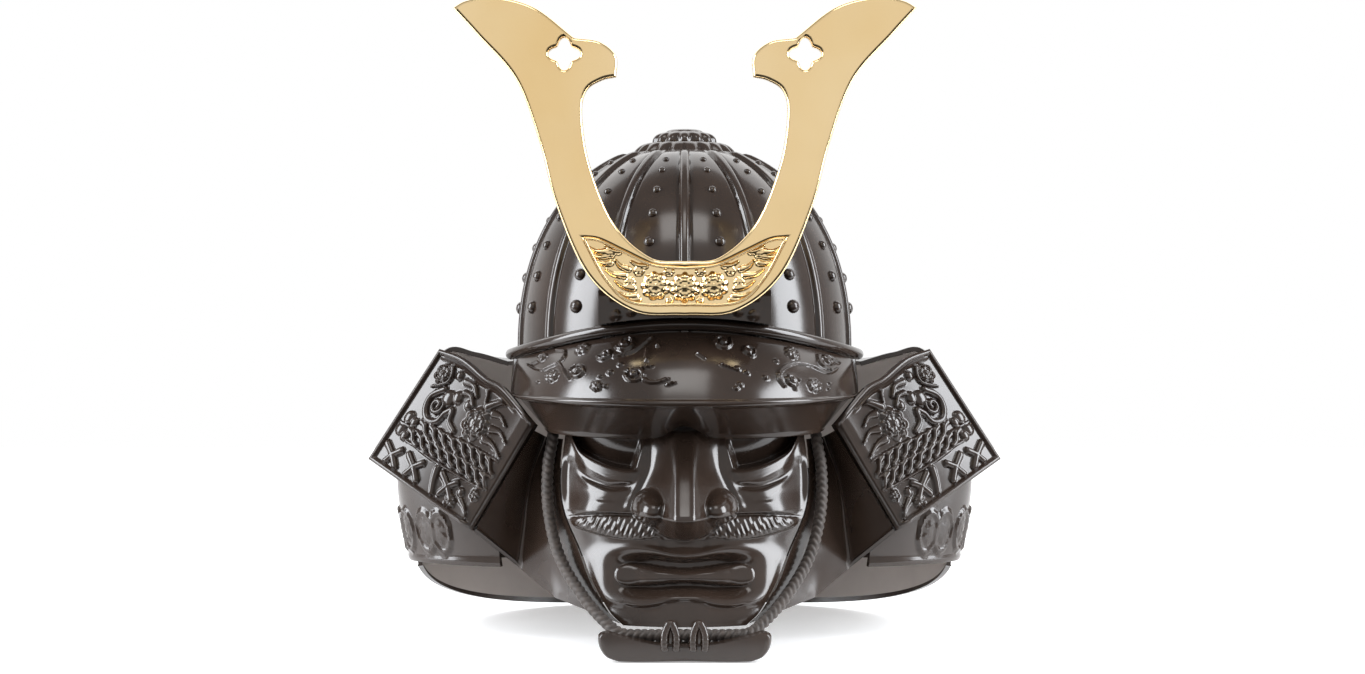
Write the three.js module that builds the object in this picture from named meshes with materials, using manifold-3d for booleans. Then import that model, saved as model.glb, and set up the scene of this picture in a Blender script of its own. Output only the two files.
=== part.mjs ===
// A samurai helmet (kabuto) with its face mask (menpo), as separate solids in millimetres.
// +Z is up, the helmet faces -Y, and it rests on the chin bar and the rear rim of the neck guard.
// Left is the side with negative X; the right side is its mirror image.
import * as THREE from "three";
import Module from "manifold-3d";

const wasm = await Module();
wasm.setup();

// ---------- driving dimensions, mm ----------
const GAP = 0.4;
const CENTRE_SHIFT = -14.15;
const FRONT = -Math.PI / 2;
const UP = new THREE.Vector3(0, 1, 0);

const BOWL = { halfWidth: 115, halfLength: 124, rimZ: 196, height: 142, power: 2.2, wall: 3.2 };
const RIBS = { count: 14, width: 4.8, rise: 1.9 };
const RIVET = { radius: 3.1, rise: 2.4, heights: [29, 50, 71, 90, 106, 120, 128] };
const FINIAL = { radius: 37, tierRadius: 22.5, baseZ: 325, shoulderZ: 336.5, tierZ: 343.5, topZ: 350 };

const BEAD = { halfWidth: 121, halfLength: 130, radius: 3.8, sideZ: 193, arch: 20, archPower: 2.2 };
const VISOR = { wall: 3, bulge: 3.5, lipHalfWidth: 117, lipBack: -36, lipReach: 129, lipZ: 165.5, lipDrop: 4.5, lipEnd: 0.02, topEnd: 0.3 };
const BAND = { wall: 3, halfWidth: 92, back: -70, reach: 55, z: 143, drop: 4, noseRise: 9, noseHalf: 13 };

const CREST = { back: -146, thickness: 8, bevel: 1.6, pocket: 1.6 };
const HOLDER = { halfWidth: 55, topZ: 230, back: -128.5, tabWidth: 6, tabRise: 5 };

const TURNBACK = { thickness: 4, bead: 3.4, beadRise: 1.6, relief: 1.8 };
const LAME = { wall: 3 };
const MASK = { wall: 4, patch: 1.6 };
const JAW = { wall: 3, ridgeY: -86.5, foldY: -59, maskGap: 1.6 };
const CORD = { radius: 4.2 };
const BAR = { halfLength: 55, front: -161.5, back: -147.5, endZ: 19, middleZ: 10.5, bevel: 3 };
const SHELF = { halfLength: 40, back: -131, z: 9.8 };
const KNOT = { x: 9, halfWidth: 3.4, topZ: 25, lowZ: 8, wire: 1.9 };

// The face mask's outline and the depth of its middle, from the chin up.
const FACE = [
  { z: 20, half: 40, edgeY: -133, midY: -144 },
  { z: 27, half: 48, edgeY: -128, midY: -143 },
  { z: 46, half: 60, edgeY: -116, midY: -139 },
  { z: 66, half: 68.5, edgeY: -106, midY: -134 },
  { z: 88, half: 78.5, edgeY: -97, midY: -129 },
  { z: 105, half: 82, edgeY: -90, midY: -124 },
  { z: 125, half: 81.5, edgeY: -83, midY: -118 },
  { z: 148, half: 79, edgeY: -76, midY: -112 },
];

// ---------- materials ----------
function lacquer() {
  return new THREE.MeshStandardMaterial({ color: 0x1c1614, roughness: 0.22, metalness: 0.1 });
}

function gold() {
  return new THREE.MeshStandardMaterial({ color: 0xd9a94a, roughness: 0.16, metalness: 1 });
}

function rope() {
  return new THREE.MeshStandardMaterial({ color: 0x2a1d17, roughness: 0.7, metalness: 0 });
}

// ---------- numbers ----------
function mix(a, b, t) {
  return a + (b - a) * t;
}

function step(low, high, value) {
  const t = Math.min(1, Math.max(0, (value - low) / (high - low)));
  return t * t * (3 - 2 * t);
}

function bell(value, middle, width) {
  return Math.exp(-(((value - middle) / width) ** 2));
}

// The value of a table's column at a key, on a smooth curve through its rows.
function through(rows, key, column, at) {
  const last = rows.length - 1;
  let i = 0;
  while (i < last - 1 && rows[i + 1][key] < at) i += 1;
  const slope = (j) => {
    const a = rows[Math.max(0, j - 1)];
    const b = rows[Math.min(last, j + 1)];
    return (b[column] - a[column]) / (b[key] - a[key]);
  };
  const span = rows[i + 1][key] - rows[i][key];
  const t = Math.min(1, Math.max(0, (at - rows[i][key]) / span));
  const u = 1 - t;
  const start = rows[i][column] * (1 + 2 * t) * u * u;
  const end = rows[i + 1][column] * (3 - 2 * t) * t * t;
  return start + end + span * (slope(i) * t * u * u - slope(i + 1) * t * t * u);
}

// ---------- solids ----------
function solidFrom(points, faces) {
  let volume = 0;
  faces.forEach(([a, b, c]) => {
    volume += points[a].dot(new THREE.Vector3().crossVectors(points[b], points[c]));
  });
  const facing = volume < 0 ? faces.map(([a, b, c]) => [a, c, b]) : faces;
  return new wasm.Manifold(
    new wasm.Mesh({
      numProp: 3,
      vertProperties: new Float32Array(points.flatMap((p) => [p.x, p.y, p.z])),
      triVerts: new Uint32Array(facing.flat()),
    }),
  );
}

function geometryOf(solid) {
  const made = solid.getMesh();
  const positions = [];
  for (let i = 0; i < made.numVert; i += 1) {
    const at = i * made.numProp;
    positions.push(made.vertProperties[at], made.vertProperties[at + 1], made.vertProperties[at + 2]);
  }
  return new THREE.BufferGeometry()
    .setAttribute("position", new THREE.Float32BufferAttribute(positions, 3))
    .setIndex(Array.from(made.triVerts));
}

// A geometry of three.js as a solid, with its equal vertices merged.
function solidOf(geometry) {
  const position = geometry.getAttribute("position");
  const corners = geometry.index ? Array.from(geometry.index.array) : [...Array(position.count).keys()];
  const seen = new Map();
  const points = [];
  const merged = corners.map((corner) => {
    const p = new THREE.Vector3().fromBufferAttribute(position, corner);
    const key = [p.x, p.y, p.z].map((value) => Math.round(value * 1e4)).join();
    if (!seen.has(key)) {
      seen.set(key, points.length);
      points.push(p);
    }
    return seen.get(key);
  });
  const faces = [];
  for (let i = 0; i < merged.length; i += 3) {
    const face = merged.slice(i, i + 3);
    if (new Set(face).size === 3) faces.push(face);
  }
  return solidFrom(points, faces);
}

function quad(faces, a, b, c, d) {
  faces.push([a, b, c], [a, c, d]);
}

// A closed sheet between two grids of points of one size; a ring joins its first and last column.
function sheet(front, back, ring = false) {
  const columns = front.length;
  const rows = front[0].length;
  const points = [...front.flat(), ...back.flat()];
  const at = (side, i, j) => side * columns * rows + (i % columns) * rows + j;
  const faces = [];
  const spans = ring ? columns : columns - 1;
  for (let i = 0; i < spans; i += 1) {
    for (let j = 0; j < rows - 1; j += 1) {
      quad(faces, at(0, i, j), at(0, i + 1, j), at(0, i + 1, j + 1), at(0, i, j + 1));
      quad(faces, at(1, i, j + 1), at(1, i + 1, j + 1), at(1, i + 1, j), at(1, i, j));
    }
    quad(faces, at(1, i, 0), at(1, i + 1, 0), at(0, i + 1, 0), at(0, i, 0));
    quad(faces, at(0, i, rows - 1), at(0, i + 1, rows - 1), at(1, i + 1, rows - 1), at(1, i, rows - 1));
  }
  if (!ring) {
    for (let j = 0; j < rows - 1; j += 1) {
      quad(faces, at(0, 0, j), at(0, 0, j + 1), at(1, 0, j + 1), at(1, 0, j));
      quad(faces, at(1, spans, j), at(1, spans, j + 1), at(0, spans, j + 1), at(0, spans, j));
    }
  }
  return solidFrom(points, faces);
}

// A sheet of one thickness behind the surface point(u, v), sampled at the given u and v.
function plate(point, us, vs, thickness, ring = false) {
  const small = 1e-3;
  const normal = (u, v) => {
    const along = point(u + small, v).sub(point(u - small, v));
    const across = point(u, v + small).sub(point(u, v - small));
    return along.cross(across).normalize();
  };
  const front = us.map((u) => vs.map((v) => point(u, v)));
  const back = us.map((u) => vs.map((v) => point(u, v).addScaledVector(normal(u, v), -thickness)));
  return sheet(front, back, ring);
}

function evenly(count, from = 0, to = 1) {
  return Array.from({ length: count + 1 }, (_, i) => mix(from, to, i / count));
}

// A closed body of stacked rings, with a fan over its first and last ring.
function stack(rings) {
  const columns = rings[0].length;
  const points = rings.flat();
  const faces = [];
  for (let j = 0; j < rings.length - 1; j += 1) {
    for (let i = 0; i < columns; i += 1) {
      const next = (i + 1) % columns;
      quad(faces, j * columns + i, j * columns + next, (j + 1) * columns + next, (j + 1) * columns + i);
    }
  }
  const middle = (ring) => ring.reduce((sum, p) => sum.add(p), new THREE.Vector3()).divideScalar(columns);
  const low = points.push(middle(rings[0])) - 1;
  const high = points.push(middle(rings[rings.length - 1])) - 1;
  const top = (rings.length - 1) * columns;
  for (let i = 0; i < columns; i += 1) {
    const next = (i + 1) % columns;
    faces.push([low, next, i], [high, top + i, top + next]);
  }
  return solidFrom(points, faces);
}

// A low raised stud: a frustum, or with no flat top a point, that stands on a surface along its normal.
function stud(base, normal, radius, rise, sides, stretch = 1, flat = 0.55) {
  const turn = new THREE.Quaternion().setFromUnitVectors(new THREE.Vector3(0, 0, 1), normal);
  const ring = (size, lift) =>
    evenly(sides - 1, 0, 1 - 1 / sides).map((part) => {
      const a = part * 2 * Math.PI;
      const p = new THREE.Vector3(size * Math.cos(a), size * stretch * Math.sin(a), lift);
      return p.applyQuaternion(turn).add(base);
    });
  return stack([ring(radius * 1.1, -1), ring(radius * flat, rise)]);
}

// A round tube along a smooth curve through the points.
function tube(points, radius, steps, sides) {
  const path = new THREE.CatmullRomCurve3(points, false, "centripetal");
  const outline = new THREE.Shape();
  outline.absarc(0, 0, radius, 0, 2 * Math.PI, false);
  return new THREE.ExtrudeGeometry(outline, { steps, extrudePath: path, curveSegments: sides / 2 });
}

function mirrored(solid) {
  return solid.mirror([1, 0, 0]);
}

function union(solids) {
  return wasm.Manifold.union(solids);
}

// ---------- bowl ----------
// A point of the bowl's surface at an angle round it and an angle up it, lifted along the normal.
function bowlPoint(around, up, lift) {
  const out = Math.cos(up) ** (2 / BOWL.power);
  const high = Math.sin(up) ** (2 / BOWL.power);
  const normal = new THREE.Vector3(
    (out ** (BOWL.power - 1) * Math.cos(around)) / BOWL.halfWidth,
    (out ** (BOWL.power - 1) * Math.sin(around)) / BOWL.halfLength,
    high ** (BOWL.power - 1) / BOWL.height,
  ).normalize();
  return new THREE.Vector3(
    BOWL.halfWidth * out * Math.cos(around),
    BOWL.halfLength * out * Math.sin(around),
    BOWL.rimZ + BOWL.height * high,
  ).addScaledVector(normal, lift);
}

function bowlNormal(around, up) {
  return bowlPoint(around, up, 1).sub(bowlPoint(around, up, 0));
}

// The angle up the bowl at which its surface is this high over the rim.
function bowlAngle(height) {
  return Math.asin((height / BOWL.height) ** (BOWL.power / 2));
}

function makeBowl() {
  const panel = (2 * Math.PI) / RIBS.count;
  const rows = [0, 14, 27, 39, 50, 60, 67.5, 73].map(THREE.MathUtils.degToRad);
  const ribEnd = rows[rows.length - 1];
  const rings = rows.map((up) => {
    const radius = BOWL.halfWidth * Math.cos(up) ** (2 / BOWL.power);
    const halfRib = RIBS.width / 2 / radius;
    const rise = up < ribEnd ? RIBS.rise : 0;
    return evenly(RIBS.count - 1, 0, RIBS.count - 1).flatMap((rib) => {
      const around = FRONT + rib * panel;
      return [
        bowlPoint(around - halfRib, up, 0),
        bowlPoint(around, up, rise),
        bowlPoint(around + halfRib, up, 0),
        bowlPoint(around + panel / 2, up, 0),
      ];
    });
  });
  const inner = [-1, 0, 20, 38, 55, 70].map((degrees) => {
    const up = THREE.MathUtils.degToRad(Math.max(0, degrees));
    const drop = degrees < 0 ? 5 : 0;
    return evenly(19, 0, 19).map((i) => {
      const p = bowlPoint(FRONT + (i / 20) * 2 * Math.PI, up, -BOWL.wall);
      p.z -= drop;
      return p;
    });
  });
  const cone = solidOf(new THREE.ConeGeometry(RIVET.radius, RIVET.rise * 2, 4));
  const rivets = RIVET.heights.flatMap((height) =>
    evenly(RIBS.count - 1, 0, RIBS.count - 1).map((rib) => {
      const around = FRONT + (rib + 0.5) * panel;
      const up = bowlAngle(height);
      const turn = new THREE.Quaternion().setFromUnitVectors(UP, bowlNormal(around, up));
      const place = new THREE.Matrix4().compose(bowlPoint(around, up, 0), turn, new THREE.Vector3(1, 1, 1));
      return cone.transform(place.elements);
    }),
  );
  return union([stack(rings).subtract(stack(inner)), ...rivets]);
}

// ---------- crown finial ----------
// A petalled ring of the finial; petals swell its radius by the given share.
function petalRing(radius, z, petals, swell) {
  const count = petals * 2;
  return evenly(count - 1, 0, count - 1).map((i) => {
    const a = (i / count) * 2 * Math.PI;
    const r = radius * (i % 2 ? 1 : 1 - swell);
    return new THREE.Vector3(r * Math.cos(a), r * Math.sin(a), z);
  });
}

function makeFinialBase() {
  const body = stack([
    petalRing(FINIAL.radius, FINIAL.baseZ, 12, 0.05),
    petalRing(FINIAL.radius, FINIAL.baseZ + 8.5, 12, 0.05),
    petalRing(FINIAL.radius - 4.5, FINIAL.baseZ + 12, 12, 0.06),
    petalRing(FINIAL.tierRadius + 1, FINIAL.shoulderZ + 2.6, 12, 0.02),
  ]);
  const rows = [50, 66, 73].map(THREE.MathUtils.degToRad);
  const dome = stack(
    rows.map((up) => evenly(27, 0, 27).map((i) => bowlPoint(FRONT + (i / 28) * 2 * Math.PI, up, GAP))),
  );
  return body.subtract(dome);
}

function makeFinialTop() {
  const low = FINIAL.shoulderZ + 2.6 + GAP;
  return stack([
    petalRing(FINIAL.tierRadius - 4, low, 10, 0),
    petalRing(FINIAL.tierRadius, low + 1.5, 10, 0.06),
    petalRing(FINIAL.tierRadius - 1, FINIAL.tierZ, 10, 0.07),
    petalRing(FINIAL.tierRadius * 0.62, FINIAL.tierZ + 4, 10, 0.08),
    petalRing(FINIAL.tierRadius * 0.3, FINIAL.topZ, 10, 0),
  ]);
}

// ---------- visor, brow band and bead ----------
// How far round to the front an angle is: 1 at the front, 0 at the sides and behind.
function frontness(around) {
  return Math.max(0, -Math.sin(around));
}

function beadPoint(around) {
  return new THREE.Vector3(
    BEAD.halfWidth * Math.cos(around),
    BEAD.halfLength * Math.sin(around),
    BEAD.sideZ + BEAD.arch * frontness(around) ** BEAD.archPower,
  );
}

function lipPoint(around) {
  const front = frontness(around);
  return new THREE.Vector3(
    VISOR.lipHalfWidth * Math.cos(around),
    VISOR.lipBack - VISOR.lipReach * front,
    VISOR.lipZ - VISOR.lipDrop * front,
  );
}

function visorPoint(u, v) {
  const around = mix(-Math.PI + VISOR.lipEnd, -VISOR.lipEnd, u);
  const top = beadPoint(mix(-Math.PI + VISOR.topEnd, -VISOR.topEnd, u));
  top.z -= BEAD.radius + 2;
  const p = top.lerp(lipPoint(around), v);
  const out = VISOR.bulge * Math.sin(Math.PI * v) * frontness(around);
  return p.add(new THREE.Vector3(Math.cos(around) * out, Math.sin(around) * out, out * 0.3));
}

// The visor's raised scrolls: round knobs in a row, each place a share along and down the visor.
const KNOBS = [
  { along: 0.1, down: 0.52, radius: 5 },
  { along: 0.19, down: 0.3, radius: 4 },
  { along: 0.25, down: 0.66, radius: 5 },
  { along: 0.34, down: 0.34, radius: 5 },
  { along: 0.42, down: 0.62, radius: 4 },
  { along: 0.5, down: 0.42, radius: 6 },
];

function makeVisor() {
  const body = plate(visorPoint, evenly(24), evenly(3), VISOR.wall);
  const places = KNOBS.flatMap((knob) =>
    knob.along < 0.5 ? [knob, { ...knob, along: 1 - knob.along }] : [knob],
  );
  const knobs = places.map(({ along, down, radius }) => {
    const small = 1e-3;
    const tangent = visorPoint(along + small, down).sub(visorPoint(along - small, down));
    const slope = visorPoint(along, down + small).sub(visorPoint(along, down - small));
    return stud(visorPoint(along, down), tangent.cross(slope).normalize(), radius, 1.8, 5);
  });
  return union([body, ...knobs]);
}

function makeBead() {
  const sides = 6;
  const rings = evenly(35, 0, 35).map((i) => {
    const around = (i / 36) * 2 * Math.PI;
    const out = new THREE.Vector3(Math.cos(around), Math.sin(around), 0);
    return evenly(sides - 1, 0, sides - 1).map((j) => {
      const a = (j / sides) * 2 * Math.PI;
      return beadPoint(around)
        .addScaledVector(out, BEAD.radius * Math.cos(a))
        .add(new THREE.Vector3(0, 0, BEAD.radius * Math.sin(a)));
    });
  });
  const points = rings.flat();
  const faces = [];
  rings.forEach((_, i) => {
    const next = (i + 1) % rings.length;
    for (let j = 0; j < sides; j += 1) {
      const up = (j + 1) % sides;
      quad(faces, i * sides + j, next * sides + j, next * sides + up, i * sides + up);
    }
  });
  return solidFrom(points, faces);
}

function bandPoint(u, v) {
  const around = mix(-Math.PI + 0.09, -0.09, u);
  const front = frontness(around);
  const top = lipPoint(around);
  top.x *= 0.965;
  top.y += 4.5;
  top.z -= 1.5;
  const x = BAND.halfWidth * Math.cos(around);
  const nose = BAND.noseRise * bell(x, 0, BAND.noseHalf);
  const low = new THREE.Vector3(x, BAND.back - BAND.reach * front, BAND.z - BAND.drop * front + nose);
  return top.lerp(low, v);
}

function makeBrowBand() {
  const middle = [0.4, 0.43, 0.46, 0.48, 0.5, 0.52, 0.54, 0.57, 0.6];
  const us = [...evenly(7, 0, 0.35), ...middle, ...evenly(7, 0.65, 1)];
  return plate(bandPoint, us, [0, 1], BAND.wall);
}

// ---------- crest and its holder ----------
// The left half of the crest's outline as runs of smooth curve from corner to corner, (x, z).
const CREST_RUNS = [
  [[0, 218.3], [-32, 220.8], [-61, 243.6], [-80.8, 287], [-92.2, 329], [-106.7, 367.8], [-131, 396], [-147, 413.5]],
  [[-147, 413.5], [-138, 418.2], [-120, 420.4], [-95, 413.5], [-70, 394.4]],
  [[-70, 394.4], [-54, 392], [-43.5, 383], [-43.4, 369.7]],
  [[-43.4, 369.7], [-53, 367.4], [-62.5, 360.5], [-65, 345], [-60, 313.5], [-44.7, 276.6], [-22, 255.5], [0, 253]],
];
const CLOVER = { x: -76.3, z: 384.3, radius: 8.4, lobe: 1.9 };
const CREST_STEPS = [14, 8, 6, 14];
// The sunk panel's left half, from the middle of its top edge to the middle of its bottom edge.
const POCKET = [[0, 248.5], [-20, 250.5], [-38, 258.5], [-54, 266], [-64, 267.5], [-50, 242], [-33, 227], [0, 225.5]];

function crestOutline() {
  const left = CREST_RUNS.flatMap((run, i) => {
    const curve = new THREE.SplineCurve(run.map(([x, z]) => new THREE.Vector2(x, z)));
    return curve.getSpacedPoints(CREST_STEPS[i]).slice(0, -1);
  });
  const right = left.slice(1).reverse().map((p) => new THREE.Vector2(-p.x, p.y));
  return [...left, new THREE.Vector2(0, 253), ...right];
}

// A solid from a flat outline in (x, z), between two depths.
function upright(shape, front, depth, bevel) {
  const settings = {
    depth: depth - 2 * bevel,
    bevelEnabled: bevel > 0,
    bevelThickness: bevel,
    bevelSize: bevel,
    bevelOffset: -bevel,
    bevelSegments: 1,
    curveSegments: 4,
  };
  const geometry = new THREE.ExtrudeGeometry(shape, settings);
  geometry.rotateX(Math.PI / 2);
  geometry.translate(0, front + depth - bevel, 0);
  return solidOf(geometry);
}

function makeCrest() {
  const front = CREST.back - CREST.thickness;
  const shape = new THREE.Shape(crestOutline());
  [1, -1].forEach((side) => {
    const lobes = evenly(11, 0, 11).map((i) => {
      const a = (i / 12) * 2 * Math.PI;
      const r = CLOVER.radius + CLOVER.lobe * Math.cos(4 * a);
      return new THREE.Vector2(side * CLOVER.x + r * Math.cos(a), CLOVER.z + r * Math.sin(a));
    });
    shape.holes.push(new THREE.Path(lobes));
  });
  const body = upright(shape, front, CREST.thickness, CREST.bevel);
  const half = POCKET.map(([x, z]) => new THREE.Vector2(x, z));
  const other = half.slice(1, -1).reverse().map((p) => new THREE.Vector2(-p.x, p.y));
  const sunk = upright(new THREE.Shape([...half, ...other]), front - 5, 5 + CREST.pocket, 0);
  const floor = front + CREST.pocket;
  const flower = (x, z, radius) =>
    stud(new THREE.Vector3(x, floor, z), new THREE.Vector3(0, -1, 0), radius, CREST.pocket + 0.6, 8);
  const flowers = [
    flower(0, 237, 8),
    flower(-17, 238.5, 7.5),
    flower(17, 238.5, 7.5),
    flower(-34, 244, 5),
    flower(34, 244, 5),
    flower(-48, 257, 4),
    flower(48, 257, 4),
  ];
  return union([body.subtract(sunk), ...flowers]);
}

function makeHolder() {
  const front = CREST.back + GAP;
  const low = evenly(8, -1, 1).map((part) => {
    const x = part * HOLDER.halfWidth;
    const around = -Math.acos(x / BEAD.halfWidth);
    return new THREE.Vector2(x, beadPoint(around).z + BEAD.radius + 1);
  });
  const { halfWidth, topZ, tabWidth, tabRise } = HOLDER;
  const high = [
    [halfWidth, topZ + tabRise],
    [halfWidth - tabWidth, topZ + tabRise],
    [halfWidth - tabWidth, topZ],
    [tabWidth - halfWidth, topZ],
    [tabWidth - halfWidth, topZ + tabRise],
    [-halfWidth, topZ + tabRise],
  ].map(([x, z]) => new THREE.Vector2(x, z));
  const block = upright(new THREE.Shape([...low, ...high]), front, HOLDER.back - front, 0);
  const rows = [0, 14, 27, 39].map(THREE.MathUtils.degToRad);
  const dome = stack(
    rows.map((up) => evenly(55, 0, 55).map((i) => bowlPoint((i / 56) * 2 * Math.PI, up, RIBS.rise + GAP))),
  );
  return block.subtract(dome);
}

// ---------- turnbacks ----------
// The plate's plane: y falls off from the ridge with the distance out and up.
const RIDGE_TOP = new THREE.Vector3(-98, -92, 146.3);
const RIDGE_LOW = new THREE.Vector3(-140.8, -92, 77);
const OUT_TILT = -0.4623;
const UP_TILT = 0.2905;

function turnbackY(x, z) {
  return RIDGE_TOP.y + OUT_TILT * (x - RIDGE_TOP.x) + UP_TILT * (z - RIDGE_TOP.z);
}

// Corners of the plate in (x, z): ridge top, ridge foot, outer corner, top corner, top edge, inner end.
const TURNBACK_OUTLINE = [[-99.5, 147.5], [-140.8, 77], [-216.2, 122.6], [-167.7, 197.5], [-149.5, 191], [-133, 178.5], [-120.5, 171.5]];
const TURNBACK_PANEL = [[-106, 147.5], [-141.8, 86.5], [-206.5, 125.5], [-165.5, 189.5], [-152, 183.5], [-135, 171.5], [-119, 162]];

const turnbackNormal = new THREE.Vector3(OUT_TILT, -1, UP_TILT).normalize();

// A slab on the turnback's plane, from a depth below the plane to a rise over it: an upright slab, sheared.
function turnbackSlab(outline, below, rise) {
  const shape = new THREE.Shape(outline.map(([x, z]) => new THREE.Vector2(x, z)));
  const slab = upright(shape, rise / turnbackNormal.y, -(below + rise) / turnbackNormal.y, 0);
  const shear = new THREE.Matrix4().set(1, 0, 0, 0, OUT_TILT, 1, UP_TILT, turnbackY(0, 0), 0, 0, 1, 0, 0, 0, 0, 1);
  return slab.transform(shear.elements);
}

// A point of the panel: a share along the lower edge from the ridge, and a share up from that edge.
function panelPoint(along, up) {
  const low = new THREE.Vector2(-141.8, 86.5).lerp(new THREE.Vector2(-206.5, 125.5), along);
  return low.add(new THREE.Vector2(0.545, 0.838).multiplyScalar(up));
}

// A raised bar on the panel, between two of its points.
function reliefBar(from, to, width) {
  const across = to.clone().sub(from).normalize().rotateAround(new THREE.Vector2(), Math.PI / 2);
  across.multiplyScalar(width / 2);
  const corners = [
    from.clone().sub(across),
    to.clone().sub(across),
    to.clone().add(across),
    from.clone().add(across),
  ];
  return turnbackSlab(corners.map((p) => [p.x, p.y]), 2, -TURNBACK.beadRise + TURNBACK.relief + 1);
}

function makeTurnback() {
  const sunk = turnbackSlab(TURNBACK_PANEL, TURNBACK.beadRise, 5);
  const body = turnbackSlab(TURNBACK_OUTLINE, TURNBACK.thickness, 0).subtract(sunk);
  const bars = [34, 43].map((up) => reliefBar(panelPoint(0.04, up), panelPoint(0.93, up - 2), 7));
  const crosses = [0.22, 0.42, 0.62, 0.8].flatMap((along) => {
    const middle = panelPoint(along, 18);
    return [Math.PI / 4, -Math.PI / 4].map((turn) => {
      const arm = new THREE.Vector2(0.857, -0.515).rotateAround(new THREE.Vector2(), turn).multiplyScalar(7);
      return reliefBar(middle.clone().sub(arm), middle.clone().add(arm), 3.6);
    });
  });
  const boss = (along, up, radius) => {
    const p = panelPoint(along, up);
    const base = new THREE.Vector3(p.x, turnbackY(p.x, p.y), p.y);
    base.addScaledVector(turnbackNormal, -TURNBACK.beadRise);
    return stud(base, turnbackNormal, radius, TURNBACK.relief + 0.8, 6);
  };
  const bosses = [boss(0.32, 62, 8), boss(0.52, 72, 7), boss(0.62, 58, 7), boss(0.2, 76, 5)];
  return union([body, ...bars, ...crosses, ...bosses]);
}

// ---------- neck guard ----------
// Each lame is swept round the helmet; rows give its section at the sides and behind, from the top down.
const LAMES = {
  upper: [
    { v: 0, side: 123, rear: 132, front: 132, z: 188, rearZ: 188 },
    { v: 1, side: 146, rear: 150, front: 150, z: 194.5, rearZ: 186 },
    { v: 2, side: 168, rear: 166, front: 166, z: 195.5, rearZ: 178 },
    { v: 3, side: 190, rear: 182, front: 182, z: 157, rearZ: 136 },
    { v: 4, side: 211, rear: 196, front: 196, z: 122, rearZ: 96 },
  ],
  middle: [
    { v: 0, side: 201, rear: 187, front: 80, z: 124, rearZ: 100 },
    { v: 1, side: 200, rear: 186, front: 80, z: 92, rearZ: 66 },
    { v: 2, side: 192, rear: 180, front: 77, z: 50, rearZ: 30 },
  ],
  lower: [
    { v: 0, side: 187.5, rear: 176, front: 75, z: 56, rearZ: 38 },
    { v: 1, side: 186, rear: 173, front: 74, z: 45, rearZ: 0 },
  ],
};
const REAR_POWER = 1.6;

function lamePoint(rows, around, v) {
  const sine = Math.sin(around);
  const side = through(rows, "v", "side", v);
  const deep = through(rows, "v", sine > 0 ? "rear" : "front", v);
  const z = through(rows, "v", "z", v);
  const rearZ = through(rows, "v", "rearZ", v);
  const behind = sine > 0 ? 1 - (1 - sine) ** REAR_POWER : 0;
  return new THREE.Vector3(side * Math.cos(around), deep * sine, mix(z, rearZ, behind));
}

// Angles round a lame, from one front end over the rear to the other.
function sweep(front, steps) {
  return evenly(steps, front, Math.PI - front);
}

const MEDALLIONS = [-0.62, -0.42, -0.2, 0.04];

function makeUpperLame() {
  const front = -0.2;
  return plate((u, v) => lamePoint(LAMES.upper, u, v), sweep(front, 24), [0, 1, 2, 3, 4], -LAME.wall);
}

function makeMiddleLame() {
  const point = (u, v) => lamePoint(LAMES.middle, u, v);
  const body = plate(point, sweep(-0.87, 28), [0, 1, 2], -LAME.wall);
  const small = 1e-3;
  const ovals = MEDALLIONS.flatMap((around) => [around, Math.PI - around]).map((around) => {
    const along = point(around + small, 1.35).sub(point(around - small, 1.35));
    const down = point(around, 1.35 + small).sub(point(around, 1.35 - small));
    const normal = down.cross(along).normalize();
    return stud(point(around, 1.35), normal, 8, 2.2, 6, 1.7);
  });
  return union([body, ...ovals]);
}

function makeLowerLame() {
  return plate((u, v) => lamePoint(LAMES.lower, u, v), sweep(-0.05, 28), [0, 1], -LAME.wall);
}

// ---------- face mask ----------
const NOSE = { tipZ: 92, footZ: 75.6, half: 34.5, topHalf: 22, flat: 5, rise: 37, topRise: 9, topZ: 148 };
const EYE = { inner: 26, outer: 73, low: 114.5, lowX: 33, curve: 0.0114, depth: 12 };
const MOUTH = { half: 47, topZ: 61.7, topBow: 4.8, lowZ: 38.9, lowBow: 3.5, depth: 9, lip: 7.5 };

function noseRise(x, z) {
  const side = Math.abs(x);
  const foot = NOSE.footZ + (NOSE.tipZ - NOSE.footZ) * Math.min(1, (side / NOSE.half) ** 2);
  const climb = Math.min(1, Math.max(0, (NOSE.topZ - z) / (NOSE.topZ - NOSE.tipZ)));
  const half = mix(NOSE.topHalf, NOSE.half, climb ** 2);
  const away = Math.min(1, Math.max(0, (side - NOSE.flat) / (half - NOSE.flat)));
  const roof = 1 - away ** 1.35;
  const under = Math.min(1, Math.max(0, (z - foot) / Math.max(2, NOSE.tipZ - foot)));
  return mix(NOSE.topRise, NOSE.rise, climb ** 0.8) * roof * under;
}

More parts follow.
